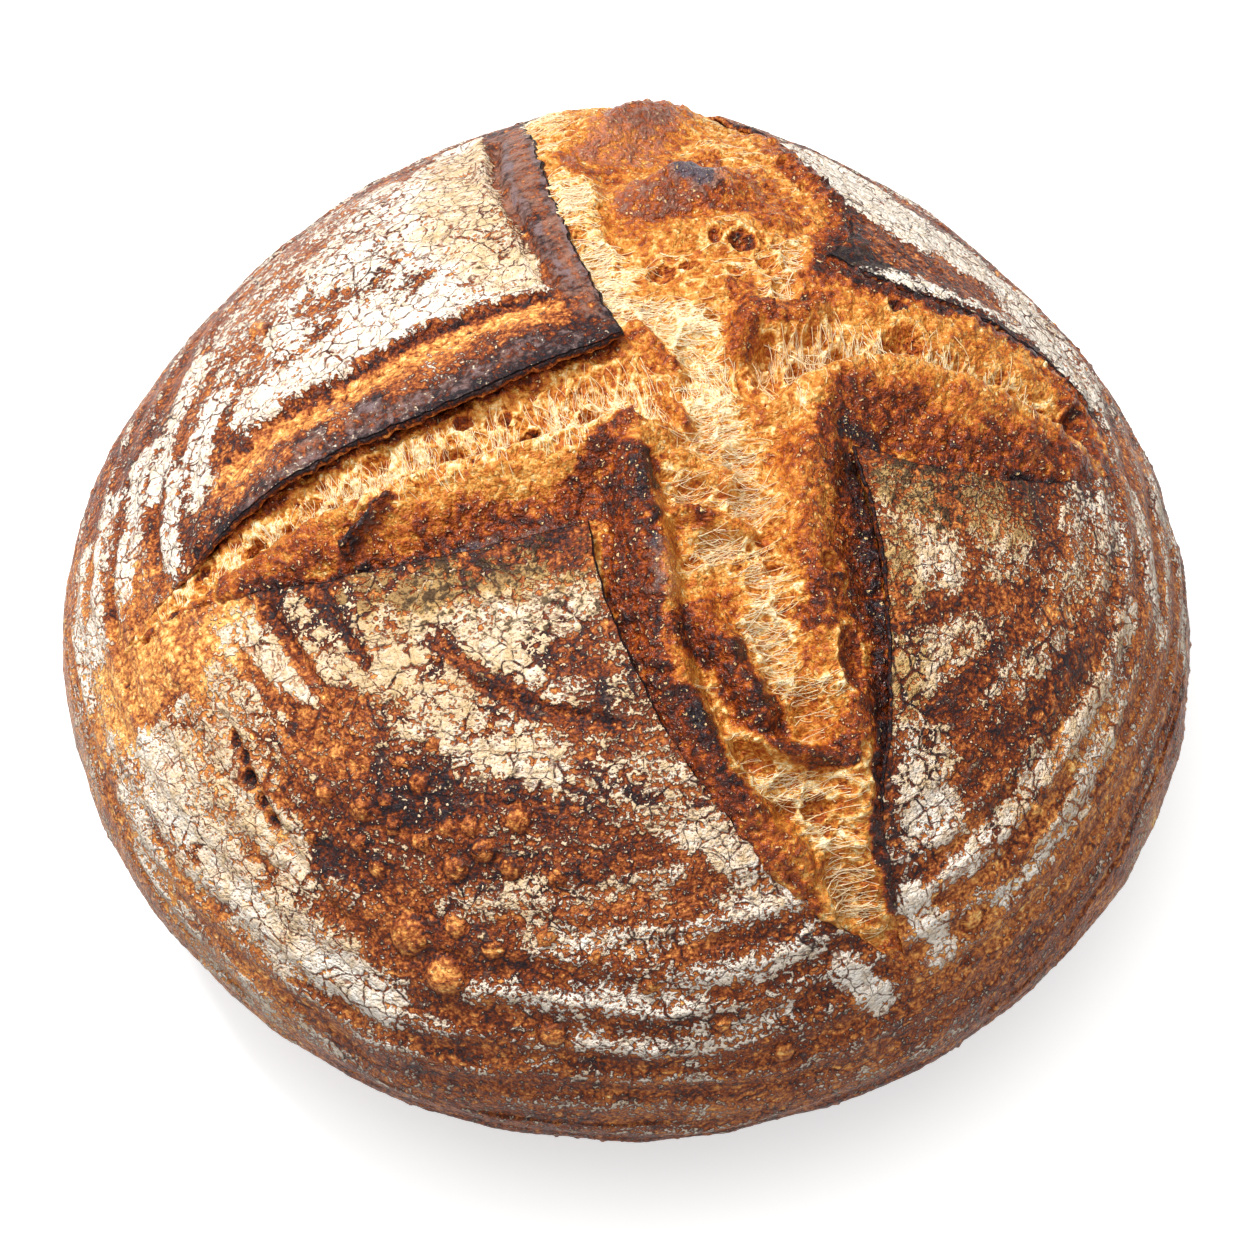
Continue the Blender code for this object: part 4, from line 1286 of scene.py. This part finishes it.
def make_base(material):
    """The flat underside, a disc with slight dents that closes the crust's lower rim."""
    radius = np.linspace(0, 1, BASE_RINGS + 1)[1:]
    bearing = np.linspace(0, 2 * math.pi, BASE_SIDES, endpoint=False)
    rim = loaf_point(np.stack([np.cos(bearing), np.sin(bearing)], -1))
    points = rim[None] * radius[:, None, None]
    points[..., 2] = 0
    flat = points.reshape(-1, 3)
    dents = 0.5 * np.abs(noise(flat, 18, 81)) + 0.35 * np.abs(noise(flat, 5, 82)) + 0.02
    flat[:, 2] = dents * MM * smooth(1.0, 0.9, np.repeat(radius, BASE_SIDES))
    middle = np.array([[0, 0, BASE_MIDDLE_HEIGHT]])
    index = np.arange(len(flat)).reshape(BASE_RINGS, BASE_SIDES)
    turned = np.roll(index, -1, 1)
    faces = np.stack([index[:-1], turned[:-1], turned[1:], index[1:]], -1).reshape(-1, 4)
    # the innermost ring closes on the middle with four-sided faces over two cells each
    first, between = index[0, ::2], index[0, 1::2]
    inner = np.stack([np.full(BASE_SIDES // 2, len(flat)), np.roll(first, -1), between, first], -1)
    faces = np.concatenate([faces, inner])
    points = np.concatenate([flat, middle])
    zeros = np.zeros(len(points))
    flour = -0.3 + 0.3 * noise(points, 30, 83)
    bake = 0.66 + 0.08 * noise(points, 25, 84) + 0.06 * noise(points, 6, 85)
    fields = {"flour": flour, "toast": zeros + 0.3, "char": zeros, "bake": bake, "ash_and_sheen": zeros,
              "cracks": zeros + 0.5, "ring": points}
    return add_mesh("crust_base", points, faces, fields, material)


# ---------------------------------------------------------------- materials

# Crumb from pale to burnt, as (share, linear colour).
BAKE_COLOURS = (
    (0.0, (0.90, 0.75, 0.48)),
    (0.09, (0.83, 0.57, 0.25)),
    (0.18, (0.72, 0.38, 0.105)),
    (0.28, (0.60, 0.245, 0.040)),
    (0.38, (0.50, 0.155, 0.020)),
    (0.50, (0.36, 0.078, 0.011)),
    (0.62, (0.21, 0.034, 0.007)),
    (0.74, (0.10, 0.020, 0.008)),
    (0.86, (0.045, 0.014, 0.011)),
    (1.0, (0.018, 0.012, 0.015)),
)
# Strands from pale to golden.
STRAND_COLOURS = (
    (0.0, (0.92, 0.78, 0.52)),
    (0.10, (0.84, 0.60, 0.30)),
    (0.2, (0.70, 0.38, 0.12)),
)
# Skin from golden to burnt.
SKIN_COLOURS = (
    (0.0, (0.90, 0.72, 0.40)),
    (0.14, (0.86, 0.56, 0.20)),
    (0.28, (0.76, 0.37, 0.10)),
    (0.42, (0.57, 0.212, 0.052)),
    (0.56, (0.36, 0.108, 0.029)),
    (0.70, (0.185, 0.038, 0.010)),
    (0.84, (0.070, 0.018, 0.011)),
    (1.0, (0.018, 0.013, 0.016)),
)
# Flour from white to toasted.
FLOUR_COLOURS = (
    (0.0, (0.90, 0.84, 0.76)),
    (0.20, (0.80, 0.69, 0.57)),
    (0.42, (0.68, 0.50, 0.31)),
    (0.75, (0.52, 0.33, 0.13)),
    (1.0, (0.32, 0.19, 0.08)),
)
# Ashy bloom, lightened further as a painted sheen on burnt crust, and bluish grey where most burnt.
ASH_AND_SHEEN_COLOUR = (0.50, 0.25, 0.17)
BLUE_ASH_AND_SHEEN_COLOUR = (0.15, 0.125, 0.155)
CHAR_COLOUR = (0.05, 0.03, 0.02)
# Pale specks of flour dust, which are also painted glints.
DUST_AND_GLINT_COLOUR = (0.86, 0.64, 0.42)
# Painted glints on toasted crumb.
PAINTED_GLINT_COLOUR = (0.92, 0.62, 0.30)


class Shader:
    """A material whose nodes are added by short calls that return output sockets."""

    def __init__(self, name):
        self.material = bpy.data.materials.new(name)
        self.material.use_nodes = True
        self.tree = self.material.node_tree
        self.surface = self.tree.nodes["Principled BSDF"]
        self.place = self.node("TexCoord").outputs["Object"]

    def node(self, kind, settings=(), inputs=()):
        """A new node with these settings, and with values or sockets on its inputs."""
        node = self.tree.nodes.new("ShaderNode" + kind)
        for key, value in dict(settings).items():
            setattr(node, key, value)
        for key, value in dict(inputs).items():
            self.put(node.inputs[key], value)
        return node

    def put(self, socket, value):
        if isinstance(value, bpy.types.NodeSocket):
            self.tree.links.new(value, socket)
        else:
            socket.default_value = value

    def field(self, name):
        """A field that the mesh carries."""
        return self.node("Attribute", {"attribute_name": name}).outputs["Fac"]

    def math(self, operation, a, b=0.0, c=0.0):
        return self.node("Math", {"operation": operation}, {0: a, 1: b, 2: c}).outputs[0]

    def times(self, a, b):
        return self.math("MULTIPLY", a, b)

    def rest(self, share):
        """What is left of 1 beside a share."""
        return self.math("SUBTRACT", 1.0, share)

    def add(self, *terms):
        """The sum of sockets, numbers and (socket, factor) pairs."""
        total = 0.0
        for term in terms:
            if isinstance(term, tuple):
                total = self.math("MULTIPLY_ADD", term[0], term[1], total)
            else:
                total = self.math("ADD", total, term)
        return total

    def step(self, low, high, value):
        """0 at low, 1 at high, and a smooth step between."""
        settings = {"interpolation_type": "SMOOTHSTEP"}
        ranges = {"From Min": low, "From Max": high, "Value": value}
        return self.node("MapRange", settings, ranges).outputs["Result"]

    def noise(self, size_mm, detail=2.0, roughness=0.55, place=None):
        """Noise from about -1 to 1."""
        inputs = {"Vector": place or self.place, "Scale": 1000 / size_mm / 2, "Detail": detail,
                  "Roughness": roughness}
        out = self.node("TexNoise", {}, inputs).outputs["Fac"]
        return self.math("MULTIPLY_ADD", out, 4.0, -2.0)

    def cells(self, size_mm, feature, place):
        """The distance to the nearest of scattered points (F1), or to the edge between two of them."""
        inputs = {"Vector": place, "Scale": 1000 / size_mm}
        return self.node("TexVoronoi", {"feature": feature}, inputs).outputs["Distance"]

    def shifted(self, size_mm, by_mm):
        """The place moved about by noise, so that patterns read there are uneven."""
        inputs = {"Vector": self.place, "Scale": 1000 / size_mm / 2, "Detail": 2.0}
        colour = self.node("TexNoise", {}, inputs).outputs["Color"]
        centred = self.vector("SUBTRACT", {0: colour, 1: (0.5, 0.5, 0.5)})
        scaled = self.vector("SCALE", {0: centred, "Scale": 4 * by_mm * MM})
        return self.vector("ADD", {0: self.place, 1: scaled})

    def vector(self, operation, inputs):
        return self.node("VectorMath", {"operation": operation}, inputs).outputs[0]

    def streaked(self, axis, stretch, place=None):
        """The place drawn out across an arm."""
        turned_place = self.mapped(place or self.place, "Rotation", (0, 0, -axis))
        return self.mapped(turned_place, "Scale", (1, 1 / stretch, 1 / stretch))

    def mapped(self, place, key, value):
        return self.node("Mapping", {}, {"Vector": place, key: value}).outputs[0]

    def ringed(self, stretch):
        """The place drawn out round the loaf."""
        ring = self.node("Attribute", {"attribute_name": "ring"}).outputs["Vector"]
        return self.mapped(ring, "Scale", (1 / stretch, 1 / stretch, 1))

    def grains(self, size_mm, place, most=0.62):
        """Round grains of different sizes: 1 in a grain, 0 between."""
        node = self.node("TexVoronoi", {}, {"Vector": place, "Scale": 1000 / size_mm})
        random = self.node("SeparateColor", {}, {"Color": node.outputs["Color"]}).outputs[0]
        radius = self.math("MULTIPLY_ADD", random, most, -0.18)
        return self.step(0.0, 0.12, self.math("SUBTRACT", radius, node.outputs["Distance"]))

    def ramp(self, value, stops):
        """A colour picked by the value from stops of (share, colour)."""
        node = self.node("ValToRGB", {}, {"Fac": value})
        elements = node.color_ramp.elements
        while len(elements) < len(stops):
            elements.new(0.5)
        for element, (at, colour) in zip(elements, stops):
            element.position = at
            element.color = (*colour, 1.0)
        return node.outputs["Color"]

    def mix(self, share, first, second):
        """A share of the second colour over the first."""
        node = self.node("Mix", {"data_type": "RGBA"})
        self.put(node.inputs[0], share)
        for socket, value in ((node.inputs[6], first), (node.inputs[7], second)):
            self.put(socket, (*value, 1.0) if isinstance(value, tuple) else value)
        return node.outputs[2]

    def bump(self, height, distance_mm, strength=1.0):
        inputs = {"Height": height, "Distance": distance_mm * MM, "Strength": strength}
        return self.node("Bump", {}, inputs).outputs["Normal"]

    def finish(self, **inputs):
        """The material, with these values or sockets on its surface."""
        for key, value in inputs.items():
            self.put(self.surface.inputs[key.replace("_", " ")], value)
        return self.material


def crust_material():
    """Baked skin, mottled and finely blistered, under flour that is speckled, streaked and cracked."""
    s = Shader("crust")
    grain, speck, fine = s.noise(1.3, 3.0), s.noise(0.6, 2.0), s.noise(0.35, 1.0)
    blotch = s.noise(4.0, 4.0, 0.65)
    streak, fine_streak = s.noise(2.4, 3.0, place=s.ringed(5.0)), s.noise(0.9, 3.0, place=s.ringed(4.0))
    # flour: thick inside its patches, breaking up into a fine powder at their edges
    uneven = s.shifted(3.0, 1.3)
    raw = s.add(s.field("flour"), (blotch, 0.24), (streak, 0.22), (fine_streak, 0.22), (grain, 0.24))
    powder = s.add(raw, (speck, 0.46), (fine, 0.40))
    flour = s.step(0.10, 0.40, powder)
    plates = s.cells(4.2, "DISTANCE_TO_EDGE", uneven)
    width = s.times(s.step(-0.4, 0.8, s.add(s.noise(6.0, 2.0), (raw, -0.4))), 0.19)
    width = s.times(width, s.field("cracks"))
    crack = s.step(-0.02, 0.05, s.add(plates, (width, -1.0), (grain, 0.03), (speck, 0.03)))
    dash = s.step(0.02, 0.18, s.math("ABSOLUTE", s.noise(1.4, 2.0, place=s.ringed(2.0))))
    dash = s.math("MAXIMUM", dash, s.step(0.5, 0.0, s.noise(2.6, 2.0)))
    flour = s.times(flour, crack)
    flour = s.times(flour, s.add(0.2, (dash, 0.8)))
    # a fine powder of flour on the bare skin, whose pale specks are also painted glints
    dust_and_glints = s.add((fine, 0.46), (speck, 0.40), (s.noise(7.0, 2.0), 0.16), (s.field("flour"), 0.40))
    dust_and_glints = s.step(0.33, 0.47, dust_and_glints)
    # bare skin
    pimple = s.times(s.grains(1.5, s.ringed(1.7)), s.step(-0.6, 0.3, s.noise(6.0, 1.0)))
    beads = s.grains(0.9, s.ringed(1.3), 0.6)
    bake = s.add(
        s.field("bake"), (grain, 0.12), (speck, 0.23), (fine, 0.18), (blotch, 0.10), (fine_streak, 0.08),
    )
    bake = s.add(bake, (pimple, -0.22), (beads, -0.17), (s.rest(crack), 0.16), 0.09)
    bare = s.ramp(bake, SKIN_COLOURS)
    # ashy bloom on burnt skin, partly a painted sheen, bluish grey where it is most burnt
    ash_and_sheen = s.add(s.field("ash_and_sheen"), (fine_streak, 0.4), (speck, 0.4), (blotch, 0.35))
    ash_and_sheen = s.step(0.15, 1.1, ash_and_sheen)
    bare = s.mix(s.times(ash_and_sheen, 0.5), bare, ASH_AND_SHEEN_COLOUR)
    blue = s.times(ash_and_sheen, s.step(0.80, 0.95, s.add(s.field("bake"), (blotch, 0.08), (speck, 0.06))))
    bare = s.mix(s.times(blue, 0.7), bare, BLUE_ASH_AND_SHEEN_COLOUR)
    bare = s.mix(s.times(dust_and_glints, 0.85), bare, DUST_AND_GLINT_COLOUR)
    toast = s.add(s.field("toast"), (grain, 0.16), (speck, 0.16), (blotch, 0.12), 0.10)
    colour = s.mix(flour, bare, s.ramp(toast, FLOUR_COLOURS))
    char = s.add((s.field("char"), 0.55), (grain, 0.45), (speck, 0.5), (blotch, 0.2))
    char = s.times(s.step(0.45, 0.75, char), s.step(0.1, 0.3, s.field("char")))
    colour = s.mix(s.times(char, 0.85), colour, CHAR_COLOUR)
    roughness = s.add(0.40, (flour, 0.5), (grain, 0.08), (dust_and_glints, 0.4))
    height = s.add((flour, 0.40), (grain, 0.18), (speck, 0.18), (fine, 0.08), (pimple, 0.30), (beads, 0.20))
    height = s.add(height, (dust_and_glints, 0.12), (fine_streak, 0.10))
    return s.finish(
        Base_Color=colour, Roughness=roughness, Normal=s.bump(height, 1.0, 1.0), Specular_IOR_Level=0.10,
    )


def crumb_material():
    """Torn crumb: a pale net of fibres drawn out across the arm, or toasted, glossy and granular."""
    s = Shader("crumb")
    grain, speck, fine = s.noise(1.2, 3.0), s.noise(0.6, 2.0), s.noise(0.35, 1.0)
    crusty, side = s.field("crusty"), s.field("side")
    pale = s.rest(crusty)
    end = s.rest(side)
    uneven = s.shifted(1.6, 0.5)
    across_side = s.noise(0.45, 3.0, place=s.streaked(SIDE_ARM_AXIS, 6.0))
    across_end = s.noise(0.45, 3.0, place=s.streaked(END_ARM_AXIS, 6.0))
    streak = s.add((across_side, side), (across_end, end))
    streak = s.times(streak, s.add(0.25, (pale, 0.75)))
    net_side = s.cells(1.3, "DISTANCE_TO_EDGE", s.streaked(SIDE_ARM_AXIS, 2.2, uneven))
    net_end = s.cells(1.3, "DISTANCE_TO_EDGE", s.streaked(END_ARM_AXIS, 2.2, uneven))
    net = s.add((s.step(0.16, 0.02, net_side), side), (s.step(0.16, 0.02, net_end), end))
    rim = s.step(0.42, 0.10, s.add(s.field("web"), (grain, 0.10), (speck, 0.06)))
    net = s.times(s.math("MAXIMUM", s.times(net, 0.55), s.times(rim, 0.75)), pale)
    grains = s.times(s.grains(1.0, uneven, 0.7), crusty)
    beads = s.times(s.grains(0.6, uneven, 0.6), crusty)
    hot = s.step(0.3, 0.55, s.field("bake"))
    bake = s.add(s.field("bake"), (grain, 0.10), (speck, 0.13), (fine, 0.08), (streak, -0.06))
    bake = s.add(bake, (grains, -0.16), (beads, -0.12), (s.times(grain, hot), 0.13), (hot, 0.05))
    # pale crumb is darker between its fibres and bubble rims, which stay light: partly their own paleness,
    # partly painted shade in the hollows
    bake = s.add(bake, (pale, 0.22), (net, -0.26))
    # pores: small hollows, sunk by the bump and darkened with painted shade
    pores = s.cells(1.2, "F1", uneven)
    pore = s.times(s.step(0.34, 0.2, pores), s.step(0.0, 0.4, s.noise(3.0, 1.0)))
    bake = s.add(bake, (s.times(pore, pale), 0.16))
    colour = s.ramp(bake, BAKE_COLOURS)
    # ashy bloom on the burnt bumps, partly a painted sheen
    ash_and_sheen = s.step(0.2, 1.0, s.add(s.field("ash_and_sheen"), (grain, 0.2), (speck, 0.25)))
    ash_and_sheen_tint = s.mix(s.step(0.7, 0.85, s.field("bake")), ASH_AND_SHEEN_COLOUR, BLUE_ASH_AND_SHEEN_COLOUR)
    colour = s.mix(s.times(ash_and_sheen, 0.55), colour, ash_and_sheen_tint)
    # painted glints: light specks on the toasted crumb where highlights would sparkle
    painted_glints = s.times(s.step(0.50, 0.70, s.add((fine, 0.60), (speck, 0.5))), hot)
    colour = s.mix(s.times(painted_glints, 0.8), colour, PAINTED_GLINT_COLOUR)
    roughness = s.add(0.45, (crusty, -0.17), (grain, 0.06))
    height = s.add((grain, 0.20), (speck, 0.2), (fine, 0.08), (streak, 0.14), (pore, -0.3), (net, 0.36))
    height = s.add(height, (grains, 0.42), (beads, 0.26))
    return s.finish(
        Base_Color=colour, Roughness=roughness, Normal=s.bump(height, 1.0, 1.0),
        Subsurface_Weight=0.12, Subsurface_Radius=(1.0, 0.5, 0.2), Subsurface_Scale=0.001,
        Specular_IOR_Level=0.22,
    )


def strand_material():
    """Thin strands of crumb, paler than what they cross and slightly see-through."""
    s = Shader("strands")
    bake = s.add(s.field("bake"), (s.noise(2.0, 2.0), 0.03))
    return s.finish(
        Base_Color=s.ramp(bake, STRAND_COLOURS), Roughness=0.45,
        Subsurface_Weight=0.2, Subsurface_Radius=(1.0, 0.6, 0.3), Subsurface_Scale=0.0008,
    )


# ---------------------------------------------------------------- floor, light and camera

VIEW_ELEVATION = math.radians(55)
VIEW_DISTANCE = 0.8
VIEW_AIM = Vector((AXIS[0], AXIS[1], 0.038))
LENS_MM = 109.15
SENSOR_MM = 36

WHITE = (1.0, 1.0, 1.0)
WARM = (1.0, 0.98, 0.95)
FLOOR_SIZE = 8
FLOOR_GREYS = ((0.0, (0.68, 0.68, 0.68)), (1.0, (0.75, 0.75, 0.75)))
FLOOR_GLOW = 0.56
WORLD_STRENGTH = 0.44
LIGHT_AIM = Vector((0, 0, 0.05))
# Round lights: (name, place, diameter, power, colour).
LIGHTS = (
    ("key", (-0.55, 0.40, 1.25), 0.3, 18, WARM),
    ("top", (-0.15, -0.10, 1.3), 1.4, 13, WARM),
    ("fill", (0.0, -1.3, 0.9), 1.2, 1.5, WHITE),
)


def floor_material():
    """Pale and matt, with a slight glow that lifts it to white."""
    s = Shader("floor")
    tint = s.ramp(s.add(0.5, (s.noise(60.0, 3.0), 0.2)), FLOOR_GREYS)
    return s.finish(
        Base_Color=tint, Roughness=0.9, Emission_Color=(*WHITE, 1.0), Emission_Strength=FLOOR_GLOW,
    )


def make_floor():
    """A plain floor that doesn't throw its light on the loaf."""
    bpy.ops.mesh.primitive_plane_add(size=FLOOR_SIZE)
    floor = bpy.context.object
    floor.name = "floor"
    floor.data.materials.append(floor_material())
    floor.visible_diffuse = False


def add_light(name, place, size, power, colour):
    """A round soft light that looks at the loaf."""
    light = bpy.data.lights.new(name, "AREA")
    light.shape = "DISK"
    light.size = size
    light.energy = power
    light.color = colour
    lamp = add_object(name, light)
    lamp.location = place
    lamp.rotation_euler = (LIGHT_AIM - Vector(place)).to_track_quat("-Z", "Y").to_euler()


def light_scene():
    for light in LIGHTS:
        add_light(*light)
    world = bpy.data.worlds.new("studio")
    world.use_nodes = True
    background = world.node_tree.nodes["Background"]
    background.inputs["Color"].default_value = (*WHITE, 1.0)
    background.inputs["Strength"].default_value = WORLD_STRENGTH
    bpy.context.scene.world = world
    bpy.context.scene.view_settings.view_transform = "Standard"


def add_camera():
    """The camera in front of the loaf, looking down on it."""
    camera = add_object("camera", bpy.data.cameras.new("camera"))
    camera.data.lens = LENS_MM
    camera.data.sensor_width = SENSOR_MM
    out = Vector((0, -math.cos(VIEW_ELEVATION), math.sin(VIEW_ELEVATION)))
    camera.location = VIEW_AIM + out * VIEW_DISTANCE
    camera.rotation_euler = (-out).to_track_quat("-Z", "Y").to_euler()
    bpy.context.scene.camera = camera


# ---------------------------------------------------------------- putting it together

def place(piece, slot):
    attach(piece, "root")
    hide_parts("loaf")


def main():
    add_camera()
    light_scene()
    make_floor()
    crust, crumb = crust_material(), crumb_material()
    for piece in make_flaps(crust):
        place(piece, "crust")
    place(make_base(crust), "crust")
    grid = crumb_grid()
    place(make_crumb(grid, crumb), "crumb")
    place(make_strands(grid, strand_material()), "crumb")


main()
